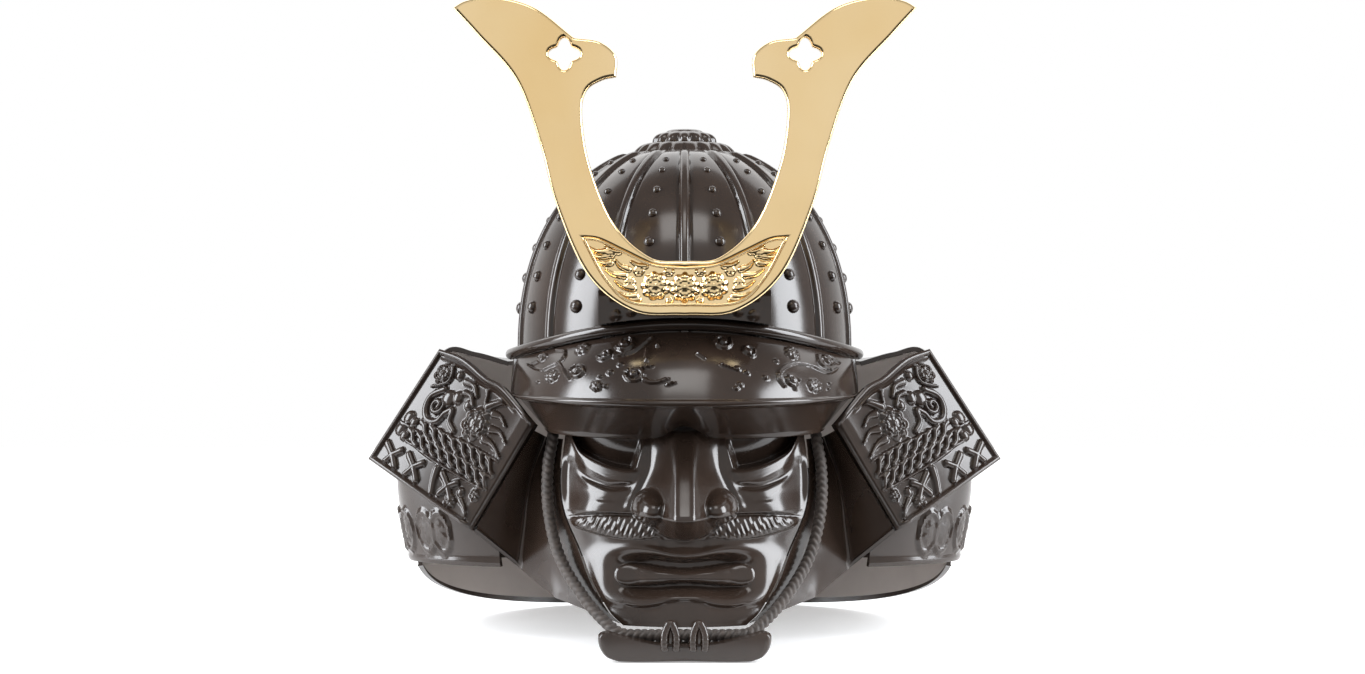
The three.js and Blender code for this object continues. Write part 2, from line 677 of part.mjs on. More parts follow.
// How far the mask's face stands out from its plain curved sheet, in mm toward the front.
function faceRelief(x, z) {
  const side = Math.abs(x);
  const lid = EYE.low + EYE.curve * (side - EYE.lowX) ** 2;
  const socket = step(lid - 1, lid + 5, z) * step(EYE.inner - 3, EYE.inner + 3, side);
  const eye = EYE.depth * socket * (1 - step(EYE.outer - 3, EYE.outer + 3, side));
  const bag = 3.2 * bell(z, lid - 5.5, 4) * step(28, 40, side) * (1 - step(66, 76, side));
  const crease = lid - 10.5;
  const fold = 2 * bell(z, crease, 1.8) * step(32, 42, side) * (1 - step(64, 72, side));
  const cheek = 5 * bell(side, 54, 22) * bell(z, 99, 12) * step(86, 90, z + 0.12 * (54 - side));
  const brim = 87.5 + 0.12 * Math.max(0, 54 - side);
  const hairLow = 74.5 + 0.0045 * (side - 32) ** 2;
  const hair = 4 * step(hairLow - 1, hairLow + 2, z) * (1 - step(brim - 3, brim - 1, z));
  const moustache = hair * step(14, 26, side) * (1 - step(68, 76, side));
  const bow = bell(side, 30, 13);
  const mouthTop = MOUTH.topZ + MOUTH.topBow * bow;
  const mouthLow = MOUTH.lowZ - MOUTH.lowBow * bow;
  const within = 1 - step(MOUTH.half - 5, MOUTH.half + 1, side);
  const cut = MOUTH.depth * step(mouthLow - 1, mouthLow + 3, z) * (1 - step(mouthTop - 3, mouthTop + 1, z)) * within;
  const lipHalf = mix(3.2, 7.6, step(4, 34, side));
  const lip = MOUTH.lip * (1 - step(lipHalf * 0.3, lipHalf + 1.5, Math.abs(z - 50))) * (1 - step(38, 45, side));
  const rimAway = Math.max(Math.abs(z - 50.5) - 14.5, 0) + Math.max(side - MOUTH.half, 0) * 1.2;
  const rim = 3.2 * bell(rimAway, 3.5, 4) * (1 - step(62, 66, side));
  const nose = noseRise(x, z);
  return nose + bag + cheek + moustache + rim + lip - cut - eye - fold;
}

function maskPoint(x, z) {
  const half = through(FACE, "z", "half", z);
  const edge = through(FACE, "z", "edgeY", z);
  const middle = through(FACE, "z", "midY", z);
  const share = Math.min(1, Math.abs(x) / half);
  const plain = mix(middle, edge, share ** 2.2);
  const fade = 1 - step(0.93, 1, share);
  const tuck = 1 - step(143, 149, z);
  return new THREE.Vector3(x, plain - faceRelief(x, z) * fade * tuck, z);
}

// The face's surface, evened out over a small patch so that a coarse grid holds its shapes.
function softMaskPoint(x, z) {
  const half = through(FACE, "z", "half", z);
  const across = Math.min(MASK.patch, half - Math.abs(x));
  const samples = [-1, 0, 1].flatMap((i) => [-1, 0, 1].map((j) => maskPoint(x + i * across, z + j * MASK.patch)));
  const y = samples.reduce((sum, p) => sum + p.y, 0) / samples.length;
  return new THREE.Vector3(x, y, z);
}

function makeMask() {
  const halves = [0, 0.06, 0.14, 0.22, 0.3, 0.38, 0.46, 0.55, 0.64, 0.73, 0.82, 0.91, 1];
  const shares = [...halves.slice(1).reverse().map((part) => -part), ...halves];
  const heights = [20, 26, 32, 36, 40, 45, 50, 55, 60, 64, 68, 73, 77, 81, 85, 88, 92, 98, 104, 110, 115, 120, 126, 134, 143, 149];
  const front = shares.map((share) =>
    heights.map((z) => softMaskPoint(share * (through(FACE, "z", "half", z) - 0.5), z)),
  );
  const back = front.map((column) => column.map((p) => p.clone().add(new THREE.Vector3(0, MASK.wall, 0))));
  return sheet(front, back);
}

// ---------- jaw guards ----------
// The wall from the turnback's ridge to the mask, from the bottom up: ridge, fold, hollow, mask edge.
const JAW_ROWS = [
  { v: 0, ridgeX: -139.5, ridgeZ: 76, foldX: -112, foldZ: 50, lowX: -86, lowY: -90, lowZ: 33, edgeZ: 21 },
  { v: 1, ridgeX: -130, ridgeZ: 93, foldX: -110, foldZ: 68, lowX: -90, lowY: -82, lowZ: 60, edgeZ: 50 },
  { v: 2, ridgeX: -113, ridgeZ: 121, foldX: -104.5, foldZ: 106, lowX: -95, lowY: -73, lowZ: 105, edgeZ: 104 },
  { v: 3, ridgeX: -99.5, ridgeZ: 143, foldX: -94, foldZ: 138, lowX: -89, lowY: -66, lowZ: 137.5, edgeZ: 137 },
];

function jawPoint(u, v) {
  const column = (name) => through(JAW_ROWS, "v", name, v);
  const edgeZ = column("edgeZ");
  const half = through(FACE, "z", "half", edgeZ);
  const line = [
    new THREE.Vector3(column("ridgeX"), JAW.ridgeY, column("ridgeZ")),
    new THREE.Vector3(column("foldX"), JAW.foldY, column("foldZ")),
    new THREE.Vector3(column("lowX"), column("lowY"), column("lowZ")),
    new THREE.Vector3(-half - JAW.maskGap, through(FACE, "z", "edgeY", edgeZ) + 1, edgeZ),
  ];
  const i = Math.min(2, Math.floor(u));
  return line[i].clone().lerp(line[i + 1], u - i);
}

function makeJaw() {
  const front = evenly(6, 0, 3).map((u) => evenly(6, 0, 3).map((v) => jawPoint(u, v)));
  const back = front.map((column) => column.map((p) => p.clone().add(new THREE.Vector3(0, JAW.wall, 0))));
  return sheet(front, back);
}

// ---------- cord ----------
// The left half of the chin cord, from inside the rim down beside the mask to behind the chin bar.
const CORD_LEFT = [
  [-104, -44, 184],
  [-96, -58, 164],
  [-88, -73, 143],
  [-90.5, -83, 120],
  [-90.5, -90, 97],
  [-86, -98, 73],
  [-78, -107, 54],
  [-63, -123, 34],
  [-50, -134, 21.5],
  [-41, -140, 15.6],
  [-28, -142, 14.8],
  [-8, -142, 14.8],
];

function makeCord() {
  const left = CORD_LEFT.map((p) => new THREE.Vector3(...p));
  const right = left.map((p) => new THREE.Vector3(-p.x, p.y, p.z)).reverse();
  return solidOf(tube([...left, ...right], CORD.radius, 40, 6));
}

// ---------- chin bar and its knots ----------
// A rounded bar in front, and behind it the shelf that the cord lies on.
function makeChinBar() {
  const { halfLength, endZ, middleZ, front, back } = BAR;
  const shape = new THREE.Shape();
  shape.moveTo(-halfLength + 12, 0);
  shape.lineTo(halfLength - 12, 0);
  shape.quadraticCurveTo(halfLength, 4, halfLength, endZ - 4);
  shape.quadraticCurveTo(halfLength, endZ, halfLength - 5, endZ);
  shape.quadraticCurveTo(halfLength - 20, middleZ, 0, middleZ);
  shape.quadraticCurveTo(20 - halfLength, middleZ, 5 - halfLength, endZ);
  shape.quadraticCurveTo(-halfLength, endZ, -halfLength, endZ - 4);
  shape.quadraticCurveTo(-halfLength, 4, 12 - halfLength, 0);
  const shelf = new THREE.BoxGeometry(2 * SHELF.halfLength, SHELF.back - back + BAR.bevel * 2, SHELF.z);
  shelf.translate(0, (SHELF.back + back) / 2 - BAR.bevel, SHELF.z / 2);
  return union([upright(shape, front, back - front, BAR.bevel), solidOf(shelf)]);
}

function makeKnot(side) {
  const x = side * KNOT.x;
  const y = BAR.front - KNOT.wire - GAP;
  const path = [
    [x - KNOT.halfWidth, y, KNOT.lowZ],
    [x - KNOT.halfWidth, y, 18],
    [x, y + 1, KNOT.topZ],
    [x + KNOT.halfWidth, y, 18],
    [x + KNOT.halfWidth, y, KNOT.lowZ],
  ];
  return solidOf(tube(path.map((p) => new THREE.Vector3(...p)), KNOT.wire, 8, 6));
}

// ---------- assembly ----------
const helmet = new THREE.Group();
helmet.name = "kabuto";
helmet.position.y = CENTRE_SHIFT;

function add(name, solid, material) {
  const mesh = new THREE.Mesh(geometryOf(solid), material);
  mesh.name = name;
  helmet.add(mesh);
}

function addPair(name, solid, material) {
  add(name + "_left", solid, material());
  add(name + "_right", mirrored(solid), material());
}

add("bowl", makeBowl(), lacquer());
add("finial_base", makeFinialBase(), lacquer());
add("finial_top", makeFinialTop(), lacquer());
add("rim_bead", makeBead(), lacquer());
add("visor", makeVisor(), lacquer());
add("brow_band", makeBrowBand(), lacquer());
add("crest", makeCrest(), gold());
add("crest_holder", makeHolder(), lacquer());
addPair("turnback", makeTurnback(), lacquer);
add("neck_lame_upper", makeUpperLame(), lacquer());
add("neck_lame_middle", makeMiddleLame(), lacquer());
add("neck_lame_lower", makeLowerLame(), lacquer());
add("mask", makeMask(), lacquer());
addPair("jaw_guard", makeJaw(), lacquer);
add("chin_cord", makeCord(), rope());
add("chin_bar", makeChinBar(), lacquer());
addPair("chin_knot", makeKnot(-1), rope);

export default helmet;
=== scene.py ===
"""The looks of the samurai helmet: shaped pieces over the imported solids, their materials and a studio."""

import math

import bpy
import numpy as np
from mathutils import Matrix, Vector


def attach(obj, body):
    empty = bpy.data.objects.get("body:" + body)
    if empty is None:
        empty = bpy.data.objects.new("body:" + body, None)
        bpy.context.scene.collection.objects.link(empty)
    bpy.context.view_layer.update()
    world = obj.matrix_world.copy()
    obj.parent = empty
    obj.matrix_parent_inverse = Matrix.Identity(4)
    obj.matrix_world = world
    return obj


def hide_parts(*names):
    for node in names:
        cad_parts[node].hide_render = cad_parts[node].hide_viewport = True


bl_info = {
    "name": "Samurai helmet",
    "version": (1, 0, 0),
    "blender": (4, 5, 0),
    "location": "View3D > Sidebar > Helmet",
    "description": "Builds a lacquered helmet with face mask, gold crest and chin cord",
    "category": "Add Mesh",
}

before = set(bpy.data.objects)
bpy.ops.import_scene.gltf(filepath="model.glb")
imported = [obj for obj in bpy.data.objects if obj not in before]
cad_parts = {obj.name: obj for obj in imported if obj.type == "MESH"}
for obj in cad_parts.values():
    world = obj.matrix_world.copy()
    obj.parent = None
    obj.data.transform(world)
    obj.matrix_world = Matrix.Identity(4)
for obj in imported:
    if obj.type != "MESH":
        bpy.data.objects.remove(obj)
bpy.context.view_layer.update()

# ---------- sizes in millimetres, the helmet's own middle at y = 0 ----------
CENTRE_SHIFT = -14.15
FRONT = -math.pi / 2
BOWL = dict(half_width=115.0, half_length=124.0, rim_z=196.0, height=142.0, power=2.2, wall=3.2)
RIBS = 14
# The rivets from the rim up: height over the rim and radius.
RIVETS = ((29.0, 4.6), (50.0, 4.1), (71.0, 3.6), (90.0, 3.2), (106.0, 2.8), (120.0, 2.5), (128.0, 2.3))
BEAD = dict(half_width=121.0, half_length=130.0, radius=3.8, side_z=193.0, arch=20.0, power=2.2)
LIP = dict(half_width=117.0, back=-36.0, reach=129.0, z=165.5, drop=4.5, end=0.02, top_end=0.3)
BAND = dict(half_width=92.0, back=-70.0, reach=55.0, z=143.0, drop=4.0, nose_rise=9.0, nose_half=13.0)
CREST_BACK = -146.0
CREST_THICKNESS = 8.0
RIDGE_TOP = np.array([-99.5, -92.0, 147.5])
OUT_TILT = -0.4623
UP_TILT = 0.2905
BAR = dict(half_length=55.0, front=-161.5, back=-147.5, end_z=19.0, middle_z=10.5)
SHELF = dict(half_length=40.0, back=-131.0, z=9.8)

# The face mask's outline and the depth of its middle, from the chin up: z, half width, edge y, middle y.
FACE = np.array(
    [
        [20, 40, -133, -144],
        [27, 48, -128, -143],
        [46, 60, -116, -139],
        [66, 68.5, -106, -134],
        [88, 78.5, -97, -129],
        [105, 82, -90, -124],
        [125, 81.5, -83, -118],
        [148, 79, -76, -112],
    ],
    dtype=float,
)

# The lames' sections from the top down: v, side, rear, front, z at the side, z behind.
LAMES = {
    "upper": np.array(
        [
            [0, 123, 132, 132, 188, 188],
            [1, 146, 150, 150, 194.5, 186],
            [2, 168, 166, 166, 195.5, 178],
            [3, 190, 182, 182, 157, 136],
            [4, 211, 196, 196, 122, 96],
        ],
        dtype=float,
    ),
    "middle": np.array(
        [
            [0, 201, 187, 80, 124, 100],
            [1, 200, 186, 80, 92, 66],
            [2, 192, 180, 77, 50, 30],
        ],
        dtype=float,
    ),
    "lower": np.array([[0, 187.5, 176, 75, 56, 38], [1, 186, 173, 74, 45, 0]], dtype=float),
}
REAR_POWER = 1.6

# The jaw guard's wall from the bottom up: v, ridge x z, fold x z, hollow x y z, mask edge z.
JAW = np.array(
    [
        [0, -139.5, 76, -112, 50, -86, -90, 33, 21],
        [1, -130, 93, -110, 68, -90, -82, 60, 50],
        [2, -113, 121, -104.5, 106, -95, -73, 105, 104],
        [3, -99.5, 143, -94, 138, -89, -66, 137.5, 137],
    ],
    dtype=float,
)
JAW_RIDGE_Y = -86.5
JAW_FOLD_Y = -59.0

# The left half of the crest's outline as runs of smooth curve from corner to corner, (x, z).
CREST_RUNS = (
    (
        (0, 218.3), (-32, 220.8), (-61, 243.6), (-80.8, 287),
        (-92.2, 329), (-106.7, 367.8), (-131, 396), (-147, 413.5),
    ),
    ((-147, 413.5), (-138, 418.2), (-120, 420.4), (-95, 413.5), (-70, 394.4)),
    ((-70, 394.4), (-54, 392), (-43.5, 383), (-43.4, 369.7)),
    (
        (-43.4, 369.7), (-53, 367.4), (-62.5, 360.5), (-65, 345),
        (-60, 313.5), (-44.7, 276.6), (-22, 255.5), (0, 253),
    ),
)
CLOVER = dict(x=-76.3, z=384.3, radius=8.4, lobe=1.9)
# The left half of the sunk panel's outline: along its top to the corner, then back along its bottom.
POCKET = (
    (0, 248.5), (-20, 250.5), (-38, 258.5), (-54, 266), (-64, 267.5),
    (-50, 242), (-33, 227), (0, 225.5),
)

# The left half of the chin cord, from inside the rim down beside the mask to over the chin bar.
CORD_LEFT = (
    (-104, -44, 184),
    (-96, -58, 164),
    (-88, -73, 143),
    (-90.5, -83, 120),
    (-90.5, -90, 97),
    (-86, -98, 73),
    (-78, -107, 54),
    (-63, -123, 34),
    (-50, -134, 21.5),
    (-41, -140, 15.6),
    (-28, -142, 14.8),
    (-8, -142, 14.8),
)
CORD_RADIUS = 4.2


# ---------- numbers ----------
def mix(a, b, t):
    """Part way from a to b."""
    return a + (b - a) * t


def step(low, high, value):
    """A smooth rise from 0 at low to 1 at high."""
    t = np.clip((value - low) / (high - low), 0.0, 1.0)
    return t * t * (3 - 2 * t)


def bell(value, middle, width):
    """A smooth bump round the middle."""
    return np.exp(-(((value - middle) / width) ** 2))


def through(rows, column, at):
    """A column of a table read at keys in its first column, on a smooth curve through its rows."""
    at = np.asarray(at, dtype=float)
    keys = rows[:, 0]
    values = rows[:, column]
    last = len(keys) - 1
    before = np.maximum(np.arange(last + 1) - 1, 0)
    after = np.minimum(np.arange(last + 1) + 1, last)
    slopes = (values[after] - values[before]) / (keys[after] - keys[before])
    i = np.clip(np.searchsorted(keys, at, side="left") - 1, 0, last - 1)
    span = keys[i + 1] - keys[i]
    t = np.clip((at - keys[i]) / span, 0, 1)
    u = 1 - t
    start = values[i] * (1 + 2 * t) * u * u
    end = values[i + 1] * (3 - 2 * t) * t * t
    return start + end + span * (slopes[i] * t * u * u - slopes[i + 1] * t * t * u)


def smooth_line(points, count, closed=False):
    """Points evenly spaced along a smooth curve through the given ones."""
    p = np.asarray(points, dtype=float)
    n = len(p)
    spans = n if closed else n - 1
    fine = []
    for i in range(spans):
        a = p[(i - 1) % n] if closed or i > 0 else 2 * p[0] - p[1]
        b = p[i]
        c = p[(i + 1) % n]
        d = p[(i + 2) % n] if closed or i + 2 < n else 2 * p[-1] - p[-2]
        t = np.linspace(0, 1, 24, endpoint=False)[:, None]
        fine.append(
            0.5 * (2 * b + (c - a) * t + (2 * a - 5 * b + 4 * c - d) * t**2 + (3 * b - a - 3 * c + d) * t**3)
        )
    fine.append(p[:1] if closed else p[-1:])
    fine = np.concatenate(fine)
    steps = np.linalg.norm(np.diff(fine, axis=0), axis=1)
    walked = np.concatenate([[0], np.cumsum(steps)])
    wanted = np.linspace(0, walked[-1], count, endpoint=not closed)
    return np.stack([np.interp(wanted, walked, fine[:, k]) for k in range(p.shape[1])], axis=1)


# ---------- low relief drawn with strokes ----------
def stroke_height(points, line, start_width, end_width, height):
    """How high a rounded stroke along a line stands at flat points."""
    line = np.asarray(line, dtype=float)
    best = np.zeros(len(points))
    low = line.min(axis=0) - max(start_width, end_width)
    high = line.max(axis=0) + max(start_width, end_width)
    near = np.where(((points > low) & (points < high)).all(axis=1))[0]
    if not len(near):
        return best
    p = points[near]
    found = np.zeros(len(near))
    count = len(line) - 1
    for i in range(count):
        a = line[i]
        ab = line[i + 1] - a
        share = np.clip(((p - a) @ ab) / max(ab @ ab, 1e-9), 0, 1)
        away = np.linalg.norm(p - a - share[:, None] * ab, axis=1)
        half = mix(start_width, end_width, (i + share) / count)
        found = np.maximum(found, height * np.sqrt(np.clip(1 - (away / np.maximum(half, 1e-6)) ** 2, 0, 1)))
    best[near] = found
    return best


def spiral(centre, start_radius, end_radius, start_angle, turns, count=26):
    """A scroll that winds in toward its centre."""
    t = np.linspace(0, 1, count)
    angle = start_angle + turns * 2 * math.pi * t
    radius = mix(start_radius, end_radius, t)
    return np.stack([centre[0] + radius * np.cos(angle), centre[1] + radius * np.sin(angle)], axis=1)


def knob_height(points, centre, radius, height):
    """A round boss at flat points."""
    away = np.linalg.norm(points - np.asarray(centre, dtype=float), axis=1)
    return height * np.sqrt(np.clip(1 - (away / radius) ** 2, 0, 1))


def flower_height(points, centre, radius, petals, height, turn=0.0):
    """A round flower: a ring of cupped petals round a domed eye."""
    d = points - np.asarray(centre, dtype=float)
    away = np.linalg.norm(d, axis=1) / radius
    angle = np.arctan2(d[:, 1], d[:, 0]) - turn
    lobe = np.abs(np.cos(petals * angle / 2))
    edge = 0.82 + 0.18 * lobe
    outer = np.clip(1 - (away / edge) ** 4, 0, 1)
    cup = 0.55 + 0.45 * np.sin(math.pi * np.clip((away - 0.3) / 0.6, 0, 1))
    veins = 0.72 + 0.28 * lobe
    inner_edge = 0.5 + 0.09 * np.abs(np.cos(petals * angle / 2 + math.pi / 2))
    inner = 0.85 * np.sqrt(np.clip(1 - (away / inner_edge) ** 2, 0, 1))
    eye = np.sqrt(np.clip(1 - (away / 0.24) ** 2, 0, 1))
    petals_high = np.sqrt(outer) * cup * veins * (away < edge)
    groove = 1 - 0.5 * bell(away, inner_edge + 0.03, 0.05)
    return height * np.maximum(np.maximum(petals_high * groove, inner * (0.75 + 0.25 * lobe)), eye)


def leaf_line(base, tip):
    """The middle line of a leaf, bent a little to one side."""
    base = np.asarray(base, dtype=float)
    tip = np.asarray(tip, dtype=float)
    across = np.array([-(tip - base)[1], (tip - base)[0]]) * 0.12
    middle = (base + tip) / 2 + across
    return smooth_line([base, middle, tip], 9)


# ---------- surfaces ----------
def bowl_points(around, up, lift):
    """The bowl's surface at angles round and up it, lifted along its normal."""
    power = BOWL["power"]
    out = np.cos(up) ** (2 / power)
    high = np.sin(up) ** (2 / power)
    normal = np.stack(
        [
            out ** (power - 1) * np.cos(around) / BOWL["half_width"],
            out ** (power - 1) * np.sin(around) / BOWL["half_length"],
            high ** (power - 1) / BOWL["height"] + 0 * around,
        ],
        axis=-1,
    )
    normal /= np.linalg.norm(normal, axis=-1, keepdims=True)
    points = np.stack(
        [
            BOWL["half_width"] * out * np.cos(around),
            BOWL["half_length"] * out * np.sin(around),
            BOWL["rim_z"] + BOWL["height"] * high + 0 * around,
        ],
        axis=-1,
    )
    return points + normal * np.asarray(lift)[..., None], normal


def frontness(around):
    """How far round to the front an angle is: 1 at the front, 0 at the sides and behind."""
    return np.maximum(0, -np.sin(around))


def bead_points(around):
    """The middle line of the bead round the bowl, arched over the brow."""
    return np.stack(
        [
            BEAD["half_width"] * np.cos(around),
            BEAD["half_length"] * np.sin(around),
            BEAD["side_z"] + BEAD["arch"] * frontness(around) ** BEAD["power"],
        ],
        axis=-1,
    )


def lip_points(around):
    """The visor's lower lip."""
    front = frontness(around)
    return np.stack(
        [
            LIP["half_width"] * np.cos(around),
            LIP["back"] - LIP["reach"] * front,
            LIP["z"] - LIP["drop"] * front,
        ],
        axis=-1,
    )


def visor_points(u, v):
    """The visor's face: u from end to end, v from the bead to the lip."""
    around = mix(-math.pi + LIP["end"], -LIP["end"], u)
    top = bead_points(mix(-math.pi + LIP["top_end"], -LIP["top_end"], u))
    top[..., 2] -= BEAD["radius"] + 1.0
    lip = lip_points(around)
    out = 3.5 * np.sin(math.pi * v) * frontness(around)
    bulge = np.stack([np.cos(around) * out, np.sin(around) * out, out * 0.3], axis=-1)
    return mix(top, lip, v[..., None]) + bulge


def band_points(u, v):
    """The brow band: from under the visor's lip down and back to the mask."""
    around = mix(-math.pi + 0.09, -0.09, u)
    front = frontness(around)
    top = lip_points(around) * np.array([0.965, 1, 1]) + np.array([0, 4.5, -1.5])
    x = BAND["half_width"] * np.cos(around)
    nose = BAND["nose_rise"] * bell(x, 0, BAND["nose_half"])
    y = BAND["back"] - BAND["reach"] * front
    z = BAND["z"] - BAND["drop"] * front + nose
    low = np.stack([x, y, z], axis=-1)
    return mix(top, low, v[..., None])


def lame_points(rows, around, v):
    """A lame swept round the helmet."""
    sine = np.sin(around)
    side = through(rows, 1, v)
    deep = np.where(sine > 0, through(rows, 2, v), through(rows, 3, v))
    behind = np.where(sine > 0, 1 - np.clip(1 - sine, 0, 1) ** REAR_POWER, 0)
    z = mix(through(rows, 4, v), through(rows, 5, v), behind)
    return np.stack([side * np.cos(around), deep * sine, z], axis=-1)


def turnback_y(x, z):
    """Depth of the turnback's plane."""
    return RIDGE_TOP[1] + OUT_TILT * (x - RIDGE_TOP[0]) + UP_TILT * (z - RIDGE_TOP[2])


# ---------- the face ----------
# Lines over one half of the face: distance from its middle, then height.
LID = np.array(
    [
        [24, 118.8],
        [38, 118.8],
        [49.5, 121],
        [60.7, 125.2],
        [68.3, 129.3],
        [71.8, 134],
        [74.4, 139.8],
        [78, 150],
    ]
)
EYE_CREASE = np.array([[33, 109.8], [38, 108.5], [48.4, 108], [58, 110.4], [66.7, 114.2], [76, 122]])
CHEEK_EDGE = np.array([[18, 89.5], [38, 90.5], [57, 90], [72, 88], [80, 87]])
HAIR_EDGE = np.array([[15, 76.5], [20, 75.4], [34, 74.2], [52, 76], [70, 80.2], [76, 84]])
# The nose's half width by height.
NOSE_HALF = np.array(
    [
        [75, 12],
        [79, 19],
        [85, 27],
        [91, 33.5],
        [96, 33.2],
        [107, 28.2],
        [118, 23],
        [128, 22],
        [139, 23],
        [150, 25],
    ]
)
# The mouth's recess and the lips in it: distance from the middle, height of its middle line, half height.
RECESS = np.array(
    [
        [0, 51.8, 11.8],
        [8, 51.9, 12.3],
        [14, 51.9, 13.4],
        [20, 51.8, 14.6],
        [27, 51.7, 15.7],
        [34, 51.7, 16.2],
        [48, 51.7, 16.2],
    ]
)
LIPS = np.array(
    [
        [0, 51.2, 4.4],
        [12, 51.2, 5.3],
        [20, 51.3, 6.6],
        [29, 51.5, 8.4],
        [38, 51.7, 10.4],
        [48, 51.5, 11],
    ]
)


def nose_rise(side, z):
    """How far the nose stands out, with its wings and the dark underside between the tip and the foot."""
    climb = np.clip((148 - z) / 56, 0, 1)
    beyond = side - 6.2
    away = np.clip(0.5 * (beyond + np.sqrt(beyond**2 + 4)) / (through(NOSE_HALF, 1, z) - 6), 0, 1)
    roof = mix(1 - away, (1 - away) ** 1.9, 0.4)
    ridge = mix(8, 37, climb**0.85) * roof
    wing = 27.5 * np.sqrt(np.clip(1 - ((side - 21) / 13.5) ** 2 - ((z - 95) / 12.5) ** 2, 0, 1))
    blend = np.clip(1 - np.abs(ridge - wing) / 4, 0, 1) ** 2
    tip = 89.2 + 1.9 * (np.minimum(side, 27) / 27) ** 2
    foot = 75.5 + 15.1 * np.minimum(1, side / 33.3) ** 1.9
    under = np.clip((z - foot) / np.maximum(1.5, tip - foot), 0, 1)
    return (np.maximum(ridge, wing) + blend) * mix(0.28, 1, under**0.85) * step(foot - 1.6, foot + 0.2, z)


def eye_relief(side, z):
    """The sunk eye under its brow, the rolled lid below it, and the creases under the eye."""
    over = z - through(LID, 1, side)
    inner_edge = 31.5 - 0.3 * (z - 124)
    within = step(inner_edge - 1.5, inner_edge + 3, side) * (1 - step(74, 79, side))
    rising = np.clip((over - 2) / 24, 0, 1)
    socket = 18 * step(-0.3, 2.2, over) * (1 - 0.85 * rising * (2 - rising))
    roll = 1.2 * bell(over, -1.8, 2.2) * step(28, 34, side)
    bag = 2.2 * bell(over, -6, 3.6) * step(28, 40, side) * (1 - step(64, 74, side))
    crease = through(EYE_CREASE, 1, side)
    reach = step(31, 40, side) * (1 - step(62, 72, side))
    fold = (2.0 * bell(z, crease, 1.7) - 1.0 * bell(z, crease - 3.6, 2.6)) * reach
    line = 0.5 * bell(z, 99.6, 1.4) * step(42, 48, side) * (1 - step(54, 60, side))
    return roll + bag - fold - line - socket * within


def cheek_relief(side, z):
    """The cheek over the moustache, dished beside the nose and turned back at its outer edge."""
    above = z - through(CHEEK_EDGE, 1, side)
    ledge = 2.6 * step(-0.8, 1.4, above) * (1 - step(2, 16, above)) * step(22, 30, side)
    from_nose = side - through(NOSE_HALF, 1, z)
    beside = 1.2 * bell(from_nose, 3.4, 2.4) * step(91, 96, z) * (1 - step(110, 120, z))
    turned = 4.5 * step(60, 80, side) * step(86, 90, z) * (1 - step(118, 130, z))
    swell = 3.4 * bell(side, 56, 15) * bell(z, 98, 10) * step(-1, 2, above)
    return ledge + beside + swell - turned


def moustache_relief(side, z):
    """The rolled moustache between the cheek's lower edge and the upper lip."""
    low = through(HAIR_EDGE, 1, side)
    top = through(CHEEK_EDGE, 1, side) - 0.6
    share = np.clip((z - low) / (top - low), 0, 1)
    return 2.8 * np.sqrt(4 * share * (1 - share)) * step(13, 20, side) * (1 - step(68, 77, side))


def oval_field(side, z, rows, reach, power):
    """1 on a rounded outline whose middle line and half height a table gives, less inside it."""
    high = np.abs(z - through(rows, 1, side)) / through(rows, 2, side)
    return ((side / reach) ** power + high**power) ** (1 / power)


def mouth_relief(side, z):
    """The mouth: a rounded recess with a soft rim, the closed lips in it, and the creases below."""
    recess = oval_field(side, z, RECESS, 47.5, 4)
    lips = oval_field(side, z, LIPS, 45, 2.6)
    cut = 11.0 * (1 - step(0.6, 1.0, recess))
    rim = 1.5 * bell(recess, 1.14, 0.14)
    fullness = 8.5 * mix(0.8, 1, step(4, 26, side)) * (1 - 0.35 * step(30, 44, side))
    roll = fullness * np.sqrt(np.clip(1 - lips**2.2, 0, 1))
    crease_z = 31.3 + 0.012 * (side - 27) ** 2
    crease = 1.0 * bell(z, crease_z, 1.4) * step(12, 18, side) * (1 - step(36, 42, side))
    philtrum = 1.4 * (1 - step(11, 18, side)) * step(66.5, 70, z) * (1 - step(74, 77, z))
    return roll + rim - cut - crease - philtrum


def face_relief(side, z):
    """How far the mask's face stands out from its plain curved sheet."""
    features = eye_relief(side, z) + cheek_relief(side, z) + moustache_relief(side, z) + mouth_relief(side, z)
    nose = nose_rise(side, z)
    return nose + features * (1 - step(0.5, 3.0, nose))


def mask_points(x, z):
    """The mask's outer surface over flat (x, z)."""
    half = through(FACE, 1, z)
    share = np.minimum(1, np.abs(x) / half)
    plain = mix(through(FACE, 3, z), through(FACE, 2, z), share**2.2)
    fade = 1 - step(0.93, 1, share)
    tuck = 1 - step(143, 149, z)
    return np.stack([x, plain - face_relief(np.abs(x), z) * fade * tuck, z], axis=-1)


# ---------- meshes ----------
def grid_faces(columns, rows, ring=False, start=0, flip=False):
    """Quads of a grid of points, counted column by column."""
    spans = columns if ring else columns - 1
    i, j = np.meshgrid(np.arange(spans), np.arange(rows - 1), indexing="ij")
    following = (i + 1) % columns
    here, there = i * rows + j, following * rows + j
    quads = np.stack([here, there, there + 1, here + 1], axis=-1)
    quads = quads.reshape(-1, 4) + start
    return quads[:, ::-1] if flip else quads


def add_piece(name, points, faces, material, slot, *replaced, sharp=None):
    """A mesh piece from points in millimetres, on the helmet's one body."""
    mesh = bpy.data.meshes.new(name)
    placed = (np.asarray(points, dtype=float).reshape(-1, 3) + [0, CENTRE_SHIFT, 0]) * 0.001
    mesh.from_pydata(placed.tolist(), [], [list(map(int, face)) for face in faces])
    mesh.validate()
    mesh.shade_smooth()
    if sharp is not None:
        mesh.set_sharp_from_angle(angle=math.radians(sharp))
    mesh.materials.append(material)
    piece = bpy.data.objects.new(name, mesh)
    bpy.context.scene.collection.objects.link(piece)
    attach(piece, "root")
    if replaced:
        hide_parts(*replaced)
    return piece


